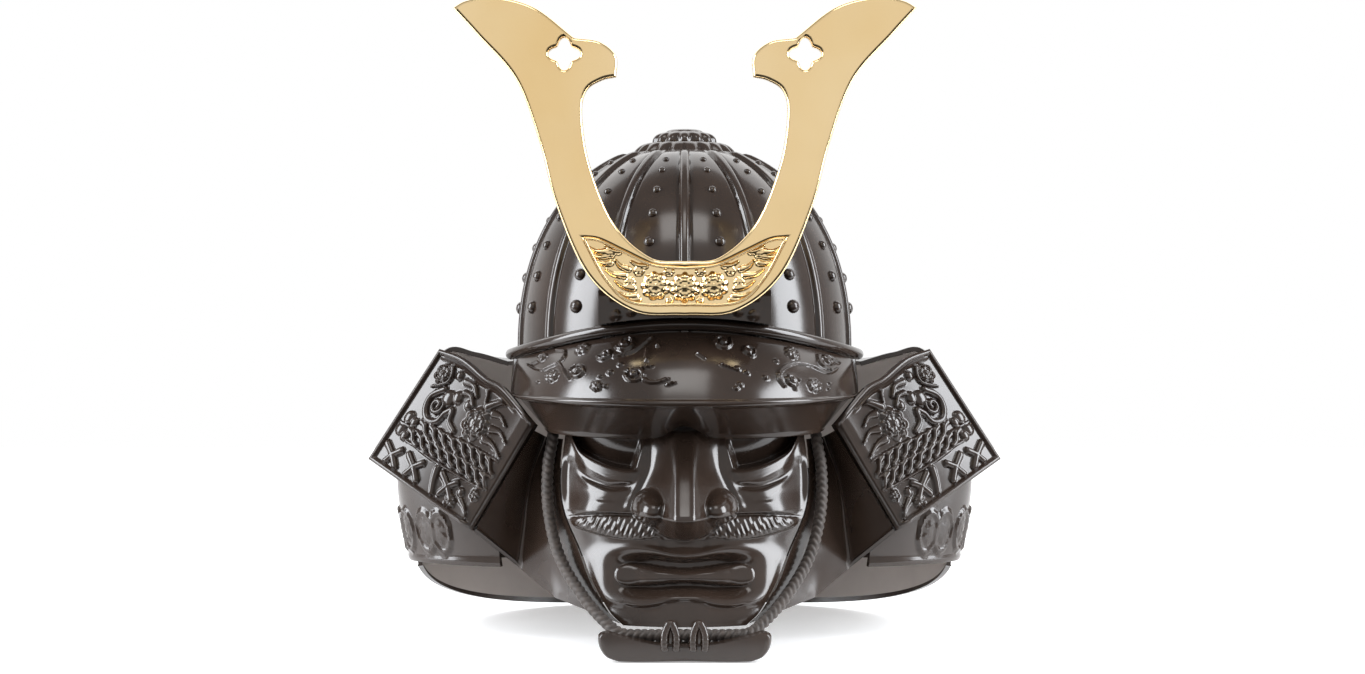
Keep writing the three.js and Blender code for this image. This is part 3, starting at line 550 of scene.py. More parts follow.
def shell(front, back, ring=False):
    """Points and quads of a closed sheet between two grids of one size."""
    columns, rows = front.shape[:2]
    size = columns * rows
    points = np.concatenate([front.reshape(-1, 3), back.reshape(-1, 3)])
    faces = [grid_faces(columns, rows, ring), grid_faces(columns, rows, ring, size, flip=True)]
    spans = columns if ring else columns - 1
    i = np.arange(spans)
    following = (i + 1) % columns
    for row, turned in ((0, True), (rows - 1, False)):
        a, b = i * rows + row, following * rows + row
        rim = np.stack([a, b, b + size, a + size], axis=-1)
        faces.append(rim if turned else rim[:, ::-1])
    if not ring:
        j = np.arange(rows - 1)
        for column, turned in ((0, False), (columns - 1, True)):
            a, b = column * rows + j, column * rows + j + 1
            rim = np.stack([a, b, b + size, a + size], axis=-1)
            faces.append(rim if turned else rim[:, ::-1])
    return points, np.concatenate(faces)


def normals_of(grid):
    """Unit normals of a grid of points, from its neighbours."""
    along = np.gradient(grid, axis=0)
    across = np.gradient(grid, axis=1)
    normal = np.cross(along, across)
    return normal / np.maximum(np.linalg.norm(normal, axis=-1, keepdims=True), 1e-9)


def mirrored(points, faces):
    """The right side's points and faces from the left side's."""
    return points * np.array([-1, 1, 1]), np.asarray(faces)[:, ::-1]


def swept_tube(line, radii, sides=12, closed=False):
    """Points of a round tube along a line, ring by ring."""
    line = np.asarray(line, dtype=float)
    radii = np.broadcast_to(radii, len(line))
    if closed:
        tangent = np.roll(line, -1, axis=0) - np.roll(line, 1, axis=0)
    else:
        tangent = np.gradient(line, axis=0)
    tangent /= np.linalg.norm(tangent, axis=1, keepdims=True)
    side = np.cross(tangent[0], [0, 0, 1])
    if np.linalg.norm(side) < 0.1:
        side = np.cross(tangent[0], [1, 0, 0])
    frames = []
    for t in tangent:
        side = side - t * (side @ t)
        side /= np.linalg.norm(side)
        frames.append((side, np.cross(t, side)))
    angle = np.linspace(0, 2 * math.pi, sides, endpoint=False)
    grid = np.array(
        [
            p + r * (np.cos(angle)[:, None] * s + np.sin(angle)[:, None] * w)
            for p, r, (s, w) in zip(line, radii, frames)
        ]
    )
    return grid


def tube_faces(count, sides, closed=False, start=0):
    """Quads of a tube's skin, and its two flat ends where it isn't closed."""
    i, j = np.meshgrid(np.arange(count if closed else count - 1), np.arange(sides), indexing="ij")
    following = (i + 1) % count
    right = (j + 1) % sides
    here, there = i * sides, following * sides
    quads = np.stack([here + j, here + right, there + right, there + j], axis=-1)
    faces = (quads.reshape(-1, 4) + start).tolist()
    if not closed:
        faces.append([start + k for k in reversed(range(sides))])
        faces.append([start + (count - 1) * sides + k for k in range(sides)])
    return faces


# ---------- materials ----------
def fresh_material(name, base, roughness, metallic=0.0):
    """A new node material with its shader's plain values set."""
    material = bpy.data.materials.new(name)
    material.use_nodes = True
    shader = material.node_tree.nodes["Principled BSDF"]
    shader.inputs["Base Color"].default_value = (*base, 1)
    shader.inputs["Roughness"].default_value = roughness
    shader.inputs["Metallic"].default_value = metallic
    return material, shader


def noise_node(material, scale, detail=3.0, roughness=0.5):
    """Noise in the object's own space."""
    nodes, links = material.node_tree.nodes, material.node_tree.links
    place = nodes.new("ShaderNodeTexCoord")
    noise = nodes.new("ShaderNodeTexNoise")
    noise.inputs["Scale"].default_value = scale
    noise.inputs["Detail"].default_value = detail
    noise.inputs["Roughness"].default_value = roughness
    links.new(place.outputs["Object"], noise.inputs["Vector"])
    return noise


def add_ramp(tree, source, stops):
    """A colour ramp over a value, in a node tree."""
    nodes, links = tree.nodes, tree.links
    ramp = nodes.new("ShaderNodeValToRGB")
    ramp.color_ramp.elements[0].position = stops[0][0]
    ramp.color_ramp.elements[0].color = (*stops[0][1], 1)
    ramp.color_ramp.elements[1].position = stops[-1][0]
    ramp.color_ramp.elements[1].color = (*stops[-1][1], 1)
    for position, colour in stops[1:-1]:
        element = ramp.color_ramp.elements.new(position)
        element.color = (*colour, 1)
    links.new(source, ramp.inputs["Fac"])
    return ramp


def bump_node(material, height, strength, distance, before=None):
    """A bump over an earlier one."""
    nodes, links = material.node_tree.nodes, material.node_tree.links
    bump = nodes.new("ShaderNodeBump")
    bump.inputs["Strength"].default_value = strength
    bump.inputs["Distance"].default_value = distance
    links.new(height, bump.inputs["Height"])
    if before is not None:
        links.new(before.outputs["Normal"], bump.inputs["Normal"])
    return bump


def grey(value):
    """A grey colour."""
    return (value, value, value)


def lacquer_material(name, roughness=0.17):
    """Dark brown lacquer: uneven in depth and gloss, with a faint ripple and dust-fine grain."""
    look = bpy.context.scene.helmet_looks
    base = np.array(look.lacquer_colour[:3])
    material, shader = fresh_material(name, tuple(base), roughness)
    links = material.node_tree.links
    clouds = noise_node(material, 16, 4, 0.55)
    tones = ((0.3, tuple(base * 0.75)), (0.7, tuple(base * 1.3)))
    colour = add_ramp(material.node_tree, clouds.outputs["Fac"], tones)
    links.new(colour.outputs["Color"], shader.inputs["Base Color"])
    smears = noise_node(material, 34, 5, 0.6)
    levels = ((0.3, grey(roughness * 0.82)), (0.75, grey(roughness * 1.25)))
    gloss = add_ramp(material.node_tree, smears.outputs["Fac"], levels)
    links.new(gloss.outputs["Color"], shader.inputs["Roughness"])
    ripple = bump_node(material, noise_node(material, 26, 2).outputs["Fac"], 0.12, 0.0012)
    grain = bump_node(material, noise_node(material, 320, 2).outputs["Fac"], 0.03, 0.0002, ripple)
    links.new(grain.outputs["Normal"], shader.inputs["Normal"])
    shader.inputs["IOR"].default_value = 1.5
    return material


def gold_material(name, roughness=0.15):
    """Polished gold plating with soft cloudy tones and a very slight waviness."""
    look = bpy.context.scene.helmet_looks
    base = np.array(look.gold_colour[:3])
    material, shader = fresh_material(name, tuple(base), roughness, 1.0)
    links = material.node_tree.links
    clouds = noise_node(material, 9, 3, 0.5)
    deep = tuple(base * np.array([0.92, 0.84, 0.7]))
    colour = add_ramp(material.node_tree, clouds.outputs["Fac"], ((0.3, deep), (0.7, tuple(base))))
    links.new(colour.outputs["Color"], shader.inputs["Base Color"])
    smears = noise_node(material, 40, 4, 0.6)
    levels = ((0.3, grey(roughness * 0.75)), (0.75, grey(roughness * 1.3)))
    gloss = add_ramp(material.node_tree, smears.outputs["Fac"], levels)
    links.new(gloss.outputs["Color"], shader.inputs["Roughness"])
    wave = bump_node(material, noise_node(material, 14, 2).outputs["Fac"], 0.15, 0.0015)
    grain = bump_node(material, noise_node(material, 500, 3).outputs["Fac"], 0.04, 0.0002, wave)
    links.new(grain.outputs["Normal"], shader.inputs["Normal"])
    return material


def cord_material(name):
    """Matte braided cord with fine fibres, paler and darker in patches at random."""
    look = bpy.context.scene.helmet_looks
    base = np.array(look.cord_colour[:3])
    material, shader = fresh_material(name, tuple(base), 0.6)
    links = material.node_tree.links
    clouds = noise_node(material, 220, 4, 0.65)
    tones = ((0.3, tuple(base * 0.6)), (0.75, tuple(base * 1.7)))
    colour = add_ramp(material.node_tree, clouds.outputs["Fac"], tones)
    links.new(colour.outputs["Color"], shader.inputs["Base Color"])
    fibres = bump_node(material, noise_node(material, 1600, 3).outputs["Fac"], 0.35, 0.0004)
    links.new(fibres.outputs["Normal"], shader.inputs["Normal"])
    shader.inputs["Sheen Weight"].default_value = 0.15
    return material


def floor_material(name):
    """A pale matte floor with a faint mottle."""
    material, shader = fresh_material(name, (0.86, 0.86, 0.86), 0.55)
    links = material.node_tree.links
    clouds = noise_node(material, 3, 3, 0.5)
    colour = add_ramp(material.node_tree, clouds.outputs["Fac"], ((0.3, grey(0.85)), (0.7, grey(0.88))))
    links.new(colour.outputs["Color"], shader.inputs["Base Color"])
    shader.inputs["Emission Color"].default_value = (1, 1, 1, 1)
    shader.inputs["Emission Strength"].default_value = 0.42
    return material


def lining_material(name):
    """A pale beige, slightly mottled colour on the inner side of the neck guard, far paler than the lacquer
    outside.
    """
    material, shader = fresh_material(name, (0.4, 0.35, 0.32), 0.5)
    links = material.node_tree.links
    clouds = noise_node(material, 12, 4, 0.55)
    tones = ((0.3, (0.33, 0.29, 0.265)), (0.7, (0.43, 0.38, 0.35)))
    colour = add_ramp(material.node_tree, clouds.outputs["Fac"], tones)
    links.new(colour.outputs["Color"], shader.inputs["Base Color"])
    return material


def shared(name, maker):
    """A material that is made once and then used again."""
    found = bpy.data.materials.get(name)
    return found if found else maker(name)


# ---------- pieces ----------
# Columns from a rib to its panel's middle, closest together over the rib's rounded side.
RIB_COLUMNS = (
    0.0, 0.03, 0.055, 0.075, 0.09, 0.105, 0.12, 0.14, 0.17,
    0.22, 0.28, 0.35, 0.45, 0.56, 0.68, 0.8, 0.9, 1.0,
)


def build_bowl():
    """The ribbed bowl and its rivets."""
    half = np.array(RIB_COLUMNS)
    offsets = np.concatenate([half, 2 - half[1:-1][::-1]]) / 2
    panel = 2 * math.pi / RIBS
    around = (FRONT + (np.arange(RIBS)[:, None] + offsets[None, :]) * panel).reshape(-1)
    up = np.radians(np.concatenate([np.linspace(0, 70, 40), np.linspace(71.5, 88, 6)]))
    a, b = np.meshgrid(around, up, indexing="ij")
    radius = BOWL["half_width"] * np.cos(b) ** (2 / BOWL["power"])
    turn = (a - FRONT) / panel
    from_rib = np.abs(turn - np.round(turn)) * panel * radius
    to_middle = np.abs(turn - np.floor(turn) - 0.5) * 2
    fade = 1 - step(np.radians(69), np.radians(73), b)
    rib = 2.7 * np.sqrt(np.clip(1 - (from_rib / 2.9) ** 2, 0, 1)) ** 0.8
    groove = -0.7 * bell(from_rib, 3.8, 0.6)
    puff = 0.9 * (1 - to_middle**2)
    front, _ = bowl_points(a, b, (rib + groove + puff) * fade)
    back, _ = bowl_points(a, b, np.full(a.shape, -BOWL["wall"]))
    points, faces = shell(front, back, ring=True)
    lacquer = shared("brown_lacquer", lacquer_material)
    add_piece("bowl_skin", points, faces, lacquer, "lacquer", "bowl", sharp=60)
    build_rivets(lacquer, panel)


def build_rivets(material, panel):
    """One column of domed rivets on every panel, smaller toward the crown."""
    rings, sides = 8, 18
    tilt = np.linspace(-0.2, math.pi / 2, rings)
    turn = np.linspace(0, 2 * math.pi, sides, endpoint=False)
    t, r = np.meshgrid(turn, tilt, indexing="ij")
    dome = np.stack([np.cos(t) * np.cos(r), np.sin(t) * np.cos(r), np.sin(r)], axis=-1)
    points, faces = [], []
    for height, size in RIVETS:
        up = math.asin((height / BOWL["height"]) ** (BOWL["power"] / 2))
        for rib in range(RIBS):
            around = FRONT + (rib + 0.5) * panel
            base, normal = bowl_points(np.array(around), np.array(up), np.array(0.9))
            side = np.cross([0, 0, 1], normal)
            side /= np.linalg.norm(side)
            over = np.cross(normal, side)
            shape = dome * [size, size, size * 0.78]
            placed = base + shape[..., :1] * side + shape[..., 1:2] * over + shape[..., 2:] * normal
            faces.append(grid_faces(sides, rings, ring=True, start=len(points) * sides * rings))
            points.append(placed.reshape(-1, 3))
    add_piece("bowl_rivets", np.concatenate(points), np.concatenate(faces), material, "lacquer")


def petal_grid(profile, petals, count):
    """A turned body whose rings swell into petals: profile rows are radius, z and petal share."""
    angle = np.linspace(0, 2 * math.pi, count, endpoint=False)
    lobe = 1 - np.abs(np.cos(petals * angle / 2)) ** 1.5
    rows = []
    for radius, z, swell in profile:
        r = radius * (1 - swell * (1 - lobe) ** 2)
        rows.append(np.stack([r * np.cos(angle), r * np.sin(angle), np.full(count, float(z))], axis=-1))
    return np.stack(rows, axis=1)


def build_finial():
    """The two petalled tiers on the crown, with a domed knob."""
    lacquer = shared("brown_lacquer", lacquer_material)
    lower = [
        (35.2, 328.6, 0.04),
        (37.0, 329.4, 0.07),
        (37.0, 331.6, 0.09),
        (35.2, 334.6, 0.09),
        (32.2, 337.6, 0.07),
        (29.2, 339.3, 0.05),
        (26.8, 339.9, 0.02),
        (25.0, 340.0, 0.0),
        (18.0, 340.0, 0.0),
    ]
    base = petal_grid(smooth_line(lower, 34), 20, 240)
    faces = grid_faces(240, 34, ring=True)
    add_piece("finial_lower_tier", base, faces, lacquer, "lacquer", "finial_base", sharp=60)
    upper = [
        (20.0, 338.8, 0.0),
        (22.3, 339.9, 0.06),
        (22.8, 341.6, 0.1),
        (21.8, 344.2, 0.11),
        (19.6, 346.2, 0.1),
        (16.4, 347.4, 0.06),
        (13.6, 347.8, 0.02),
        (12.2, 348.9, 0.0),
        (9.0, 349.8, 0.0),
        (0.2, 350.0, 0.0),
    ]
    top = petal_grid(smooth_line(upper, 36), 14, 196)
    faces = grid_faces(196, 36, ring=True)
    add_piece("finial_upper_tier", top, faces, lacquer, "lacquer", "finial_top", sharp=60)


def build_bead():
    """The thick bead round the bowl."""
    around = np.linspace(0, 2 * math.pi, 220, endpoint=False)
    line = bead_points(around)
    grid = swept_tube(line, BEAD["radius"], 18, closed=True)
    faces = tube_faces(220, 18, closed=True)
    lacquer = shared("brown_lacquer", lacquer_material)
    add_piece("brow_and_rim_bead", grid, faces, lacquer, "lacquer", "rim_bead")


# The visor's ornament by front x and share down the visor. Scrolls: middle, radius, start angle, turns.
VISOR_SCROLLS = (
    ((-98, 0.18), 5.2, 0.4, 1.2),
    ((-69, 0.52), 7.0, 2.8, -1.3),
    ((-41, 0.12), 7.0, 3.6, 1.3),
    ((-31, 0.58), 7.0, 2.6, 1.2),
    ((-53, 0.27), 5.8, 3.4, 0.9),
    ((26, 0.12), 7.0, 0.4, -1.2),
    ((43, 0.24), 5.0, -1.2, 1.1),
    ((98, 0.22), 6.0, 2.2, -1.3),
    ((68, 0.66), 5.0, 1.9, 1.0),
)
# Rosettes: middle, radius, petals.
VISOR_FLOWERS = (
    ((-86, 0.56), 7.4, 7),
    ((-71, 0.13), 6.6, 6),
    ((-55, 0.74), 4.4, 6),
    ((82.5, 0.72), 7.6, 7),
    ((73.5, 0.2), 6.8, 6),
)
# Plain round knobs: middle, radius.
VISOR_KNOBS = (
    ((-47.4, 0.55), 2.2),
    ((-41.8, 0.44), 2.0),
    ((-46.6, 0.31), 2.0),
    ((-53.6, 0.6), 1.7),
    ((-49.4, 0.74), 1.8),
    ((-94.8, 0.65), 1.9),
    ((-18.5, 0.19), 1.6),
    ((60.4, 0.36), 2.0),
    ((50.9, 0.62), 2.2),
    ((33.7, 0.51), 2.0),
    ((39.4, 0.56), 1.8),
    ((34.1, 0.72), 2.2),
    ((31.6, 0.77), 1.8),
    ((93.0, 0.68), 2.0),
    ((91.4, 0.78), 1.7),
    ((72.7, 0.64), 1.8),
)
# Strokes through points, with the half width at their start and at their end.
VISOR_STROKES = (
    (((-103.3, 0.26), (-99, 0.2), (-95.6, 0.12)), 1.6, 1.0),
    (((-90, 0.06), (-83.4, 0.12), (-82, 0.23), (-85.6, 0.34), (-93, 0.42)), 1.2, 1.2),
    (((-107, 0.24), (-101, 0.36), (-95, 0.43)), 1.0, 0.9),
    (((-93, 0.43), (-86, 0.33), (-80.8, 0.41), (-76.7, 0.54), (-73.7, 0.62)), 1.5, 1.1),
    (((-46.2, 0.31), (-41, 0.3), (-32.8, 0.24), (-22.8, 0.06)), 1.2, 0.7),
    (((-25.3, 0.66), (-21.9, 0.69), (-16, 0.69), (-10.4, 0.65)), 1.8, 0.8),
    (((-10.4, 0.72), (-6.1, 0.7)), 1.2, 0.6),
    (((-25.7, 0.24), (-24.9, 0.4)), 1.2, 0.9),
    (((-27.8, 0.51), (-20.2, 0.48)), 0.9, 0.7),
    (
        (
            (62.2, 0.74), (59.5, 0.64), (60.4, 0.53), (65.5, 0.43), (73.7, 0.37),
            (83.5, 0.38), (89, 0.44), (95, 0.48), (102.3, 0.36),
        ),
        1.2,
        1.3,
    ),
    (((68.2, 0.6), (68.6, 0.79)), 2.2, 1.0),
    (((91.4, 0.15), (90.2, 0.28), (93, 0.38), (100, 0.42)), 1.0, 1.0),
    (((95.3, 0.17), (98.6, 0.22), (101.5, 0.27)), 1.4, 1.0),
    (((100.4, 0.12), (105.8, 0.23)), 1.3, 0.9),
    (((8.2, 0.31), (12.9, 0.38)), 0.8, 0.6),
    (((23.6, 0.46), (33.3, 0.53)), 0.9, 0.7),
)


def visor_ornament(arc, down, span, arc_of):
    """The scrolled relief over the visor."""
    flat = np.stack([arc.reshape(-1), -(down * span).reshape(-1)], axis=1)
    height = np.zeros(len(flat))

    def spot(place):
        return (arc_of(place[0]), -place[1] * span)

    for middle, radius, start, turns in VISOR_SCROLLS:
        line = spiral(spot(middle), radius, radius * 0.25, start, turns)
        height = np.maximum(height, stroke_height(flat, line, 1.1, 1.9, 2.2))
        height = np.maximum(height, knob_height(flat, spot(middle), 1.9, 2.3))
    for middle, radius, petals in VISOR_FLOWERS:
        height = np.maximum(height, flower_height(flat, spot(middle), radius, petals, 2.7, 0.3))
    for middle, radius in VISOR_KNOBS:
        height = np.maximum(height, knob_height(flat, spot(middle), radius, 2.0))
    for places, start, end in VISOR_STROKES:
        line = smooth_line([spot(place) for place in places], 8 * len(places))
        height = np.maximum(height, stroke_height(flat, line, start, end, 1.9))
    return height.reshape(arc.shape)


def build_visor():
    """The scrolled brow visor with its bead along the lip and ends."""
    u, v = np.meshgrid(np.linspace(0, 1, 400), np.linspace(0, 1, 80), indexing="ij")
    grid = visor_points(u, v)
    middle = grid[:, grid.shape[1] // 2]
    walked = np.concatenate([[0], np.cumsum(np.linalg.norm(np.diff(middle, axis=0), axis=1))])
    walked -= walked[-1] / 2
    span = np.linalg.norm(grid[200, -1] - grid[200, 0])
    arc = np.broadcast_to(walked[:, None], u.shape)

    def arc_of(x):
        return float(np.interp(x, middle[:, 0], walked))

    ornament = visor_ornament(arc, v, span, arc_of)
    from_lip = (1 - v) * span
    from_end = walked[-1] - np.abs(arc)
    lip = 2.6 * np.sqrt(np.clip(1 - ((from_lip - 2.2) / 2.4) ** 2, 0, 1))
    end = 1.8 * np.sqrt(np.clip(1 - ((from_end - 2.2) / 2.0) ** 2, 0, 1))
    inside = step(5, 7, from_lip) * step(1.5, 3.5, v * span) * step(4.5, 7, from_end)
    lift = np.maximum(ornament * inside, np.maximum(lip, end))
    normal = normals_of(grid)
    normal *= -np.sign((normal * [0, 1, 0]).sum(axis=-1, keepdims=True).mean())
    front = grid + normal * lift[..., None]
    back = grid - normal * 3.0
    points, faces = shell(front, back)
    lacquer = shared("brown_lacquer", lacquer_material)
    add_piece("visor_plate", points, faces, lacquer, "lacquer", "visor", sharp=60)


def build_brow_band():
    """The plain band under the visor, waved over the nose."""
    u, v = np.meshgrid(np.linspace(0, 1, 160), np.linspace(0, 1, 20), indexing="ij")
    grid = band_points(u, v)
    normal = normals_of(grid)
    normal *= -np.sign(normal[..., 1].mean())
    lift = 0.9 * np.sqrt(np.clip(1 - ((1 - v - 0.04) / 0.05) ** 2, 0, 1))
    points, faces = shell(grid + normal * lift[..., None], grid - normal * 3.0)
    lacquer = shared("brown_lacquer", lacquer_material)
    add_piece("brow_band_plate", points, faces, lacquer, "lacquer", "brow_band", sharp=60)


def crest_outline(spacing=1.6):
    """The crest's outline, counted round, as flat points (x, z)."""
    left = []
    for run in CREST_RUNS:
        length = sum(math.dist(a, b) for a, b in zip(run, run[1:]))
        left.append(smooth_line(run, max(4, int(length / spacing)))[:-1])
    left = np.concatenate(left)
    right = left[1:][::-1] * [-1, 1]
    return np.concatenate([left, [[0, 253.0]], right])


def pocket_outline(count=70):
    """The sunk panel's outline."""
    top = smooth_line(POCKET[:5], count // 2)
    low = smooth_line(POCKET[4:], count // 2)
    left = np.concatenate([top[:-1], low])
    return np.concatenate([left, left[1:-1][::-1] * [-1, 1]])


def clover_outline(side, count=48):
    """The pierced clover of one horn."""
    a = np.linspace(0, 2 * math.pi, count, endpoint=False)
    r = CLOVER["radius"] + CLOVER["lobe"] * np.cos(4 * a)
    return np.stack([side * -CLOVER["x"] + r * np.cos(a), CLOVER["z"] + r * np.sin(a)], axis=1)


def add_spline(curve, outline):
    """A closed flat outline on a filled curve."""
    spline = curve.splines.new("POLY")
    spline.points.add(len(outline) - 1)
    rows = np.c_[outline * 0.001, np.zeros(len(outline)), np.ones(len(outline))]
    spline.points.foreach_set("co", rows.reshape(-1))
    spline.use_cyclic_u = True


def crest_blank(name, outlines, depth, bevel, middle_y, material):
    """A plate cut from outlines, with rounded edges, as a mesh in place."""
    curve = bpy.data.curves.new(name + "_outline", "CURVE")
    curve.dimensions = "2D"
    curve.fill_mode = "BOTH"
    for outline in outlines:
        add_spline(curve, outline)
    curve.extrude = (depth / 2 - bevel) * 0.001
    curve.bevel_depth = bevel * 0.001
    curve.bevel_resolution = 5
    curve.offset = -bevel * 0.001
    holder = bpy.data.objects.new(name + "_outline", curve)
    bpy.context.scene.collection.objects.link(holder)
    bpy.context.view_layer.update()
    mesh = bpy.data.meshes.new_from_object(holder.evaluated_get(bpy.context.evaluated_depsgraph_get()))
    bpy.data.objects.remove(holder)
    bpy.data.curves.remove(curve)
    co = np.empty(len(mesh.vertices) * 3)
    mesh.vertices.foreach_get("co", co)
    co = co.reshape(-1, 3)
    placed = np.stack([co[:, 0], (middle_y + CENTRE_SHIFT) * 0.001 - co[:, 2], co[:, 1]], axis=1)
    mesh.vertices.foreach_set("co", placed.reshape(-1))
    mesh.name = name
    mesh.shade_smooth()
    mesh.set_sharp_from_angle(angle=math.radians(40))
    mesh.materials.clear()
    mesh.materials.append(material)
    piece = bpy.data.objects.new(name, mesh)
    bpy.context.scene.collection.objects.link(piece)
    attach(piece, "root")
    return piece


# The crest panel's three large flowers: x, z, radius, petals.
CREST_FLOWERS = ((0, 236.5, 9.6, 10), (-18.5, 237.5, 9.2, 9), (18.5, 237.5, 9.2, 9))
# Its small flowers, and its leaves as from, to and half width, on the left half; the right mirrors them.
CREST_KNOTS = (
    (-10, 246.5, 3.2, 6),
    (-29, 247, 3.4, 6),
    (-9.5, 228.5, 2.4, 5),
    (-34.5, 240, 3.4, 6),
    (-47, 258, 3.6, 6),
)
CREST_LEAVES = (
    ((-33, 236), (-44, 241), 2.4),
    ((-31, 231), (-42, 233.5), 2.0),
    ((-38, 244), (-50, 248), 2.2),
    ((-36, 248), (-44, 254), 2.2),
    ((-47, 252), (-56, 253), 2.0),
    ((-50, 259), (-61, 262), 2.2),
    ((-50, 256), (-59, 257), 1.8),
    ((-42, 259), (-50, 263), 2.0),
    ((-25, 250), (-34, 253), 1.8),
    ((-29, 229), (-36, 229.5), 1.6),
)


def build_crest():
    """The gold crest: one plate with rounded edges, two clovers, and a sunk panel of flowers."""
    gold = shared("gold_plating", gold_material)
    middle = CREST_BACK - CREST_THICKNESS / 2
    outlines = [crest_outline(), clover_outline(-1), clover_outline(1), pocket_outline()]
    plate = crest_blank("crest_plate", outlines, CREST_THICKNESS, 2.2, middle, gold)
    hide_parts("crest")
    u, w = np.meshgrid(np.linspace(-67, 67, 220), np.linspace(222, 270, 90), indexing="ij")
    flat = np.stack([u.reshape(-1), w.reshape(-1)], axis=1)
    height = np.zeros(len(flat))
    folded = np.stack([-np.abs(flat[:, 0]), flat[:, 1]], axis=1)
    for a, b, width in CREST_LEAVES:
        height = np.maximum(height, stroke_height(folded, leaf_line(a, b), width, 0.5, 1.5))
    for x, z, radius, petals in CREST_KNOTS:
        height = np.maximum(height, flower_height(folded, (x, z), radius, petals, 1.9))
    for x, z, radius, petals in CREST_FLOWERS:
        height = np.maximum(height, flower_height(flat, (x, z), radius, petals, 2.7, 0.3))
    floor_y = CREST_BACK - CREST_THICKNESS + 3.0
    front = np.stack([u, floor_y - height.reshape(u.shape), w], axis=-1)
    back = np.stack([u, np.full(u.shape, CREST_BACK - 1.0), w], axis=-1)
    inside = points_inside(front[..., [0, 2]].reshape(-1, 2), crest_outline(4.0)).reshape(u.shape)
    points, faces = shell(front, back)
    keep = keep_inside(faces, inside)
    add_piece("crest_flower_panel", points, keep, gold, "gilding", sharp=70)
    rim = pocket_outline(120)
    line = np.stack([rim[:, 0], np.full(len(rim), CREST_BACK - CREST_THICKNESS + 0.25), rim[:, 1]], axis=-1)
    grid = swept_tube(line, 0.8, 8, closed=True)
    add_piece("crest_panel_bead", grid, tube_faces(len(line), 8, closed=True), gold, "gilding")


def points_inside(points, outline):
    """Which flat points lie inside an outline."""
    inside = np.zeros(len(points), dtype=bool)
    x, y = points[:, 0], points[:, 1]
    for (x0, y0), (x1, y1) in zip(outline, np.roll(outline, -1, axis=0)):
        crosses = (y0 > y) != (y1 > y)
        if y1 != y0:
            inside ^= crosses & (x < (x1 - x0) * (y - y0) / (y1 - y0) + x0)
    return inside


def keep_inside(faces, inside):
    """The quads all of whose points are inside, front and back."""
    both = np.concatenate([inside.reshape(-1), inside.reshape(-1)])
    return faces[both[faces].all(axis=1)]


def build_crest_holder():
    """The bracket behind the crest, with its end tabs and small bosses."""
    lacquer = shared("brown_lacquer", lacquer_material)
    x = np.linspace(-55, 55, 90)
    around = -np.arccos(x / BEAD["half_width"])
    low = bead_points(around)[:, 2] + BEAD["radius"] + 0.6
    high = 230 + 5 * step(47.5, 49.5, np.abs(x))
    v = np.linspace(0, 1, 16)
    z = mix(low[:, None], high[:, None], v[None, :])
    xx = np.broadcast_to(x[:, None], z.shape)
    flat = np.stack([np.abs(xx).reshape(-1), z.reshape(-1)], axis=1)
    bosses = np.maximum(knob_height(flat, (44, 219), 3.2, 1.6), knob_height(flat, (34, 221), 2.6, 1.4))
    front_y = CREST_BACK + 1.8 - bosses.reshape(z.shape) - 0.9 * step(0.86, 0.95, v)[None, :]
    out = np.sqrt(np.clip(1 - (xx / 112.0) ** 2, 0, 1))
    back_y = -122.0 * out - 1.0
    front = np.stack([xx, front_y, z], axis=-1)
    back = np.stack([xx, np.maximum(back_y, front_y + 4), z], axis=-1)
    points, faces = shell(front, back)
    add_piece("crest_bracket", points, faces, lacquer, "lacquer", "crest_holder", sharp=40)


# ---------- turnbacks: a runs out from the ridge and b up from the lower edge, both 0 to 1 ----------
TURNBACK_SPAN = (100.0, 82.0)
TURNBACK_CORNERS = dict(
    foot=(-140.8, 77.0),
    outer=(-216.2, 122.6),
    top=(-167.7, 197.5),
    ridge=(-99.5, 147.5),
)
TURNBACK_TOP_EDGE = ((-99.5, 147.5), (-120.5, 171.5), (-133.0, 178.5), (-149.5, 191.0), (-167.7, 197.5))


# The panel's ornament, in mm out from the ridge and up from the lower edge. Flowers: middle, radius, petals.
PANEL_FLOWERS = (
    ((85.5, 68.6), 7.6, 7),
    ((41.2, 54.2), 11.0, 8),
    ((26.8, 7.4), 5.0, 6),
    ((12.6, 20.0), 4.4, 6),
)
PANEL_KNOBS = (
    ((72.8, 72.1), 3.2),
    ((90.0, 35.3), 4.4),
    ((84.4, 34.0), 3.4),
    ((91.0, 26.4), 4.2),
    ((85.4, 24.2), 3.6),
    ((70.5, 57.0), 5.4),
    ((64.5, 61.0), 4.2),
    ((23.0, 16.0), 3.2),
    ((54.0, 61.5), 3.4),
)
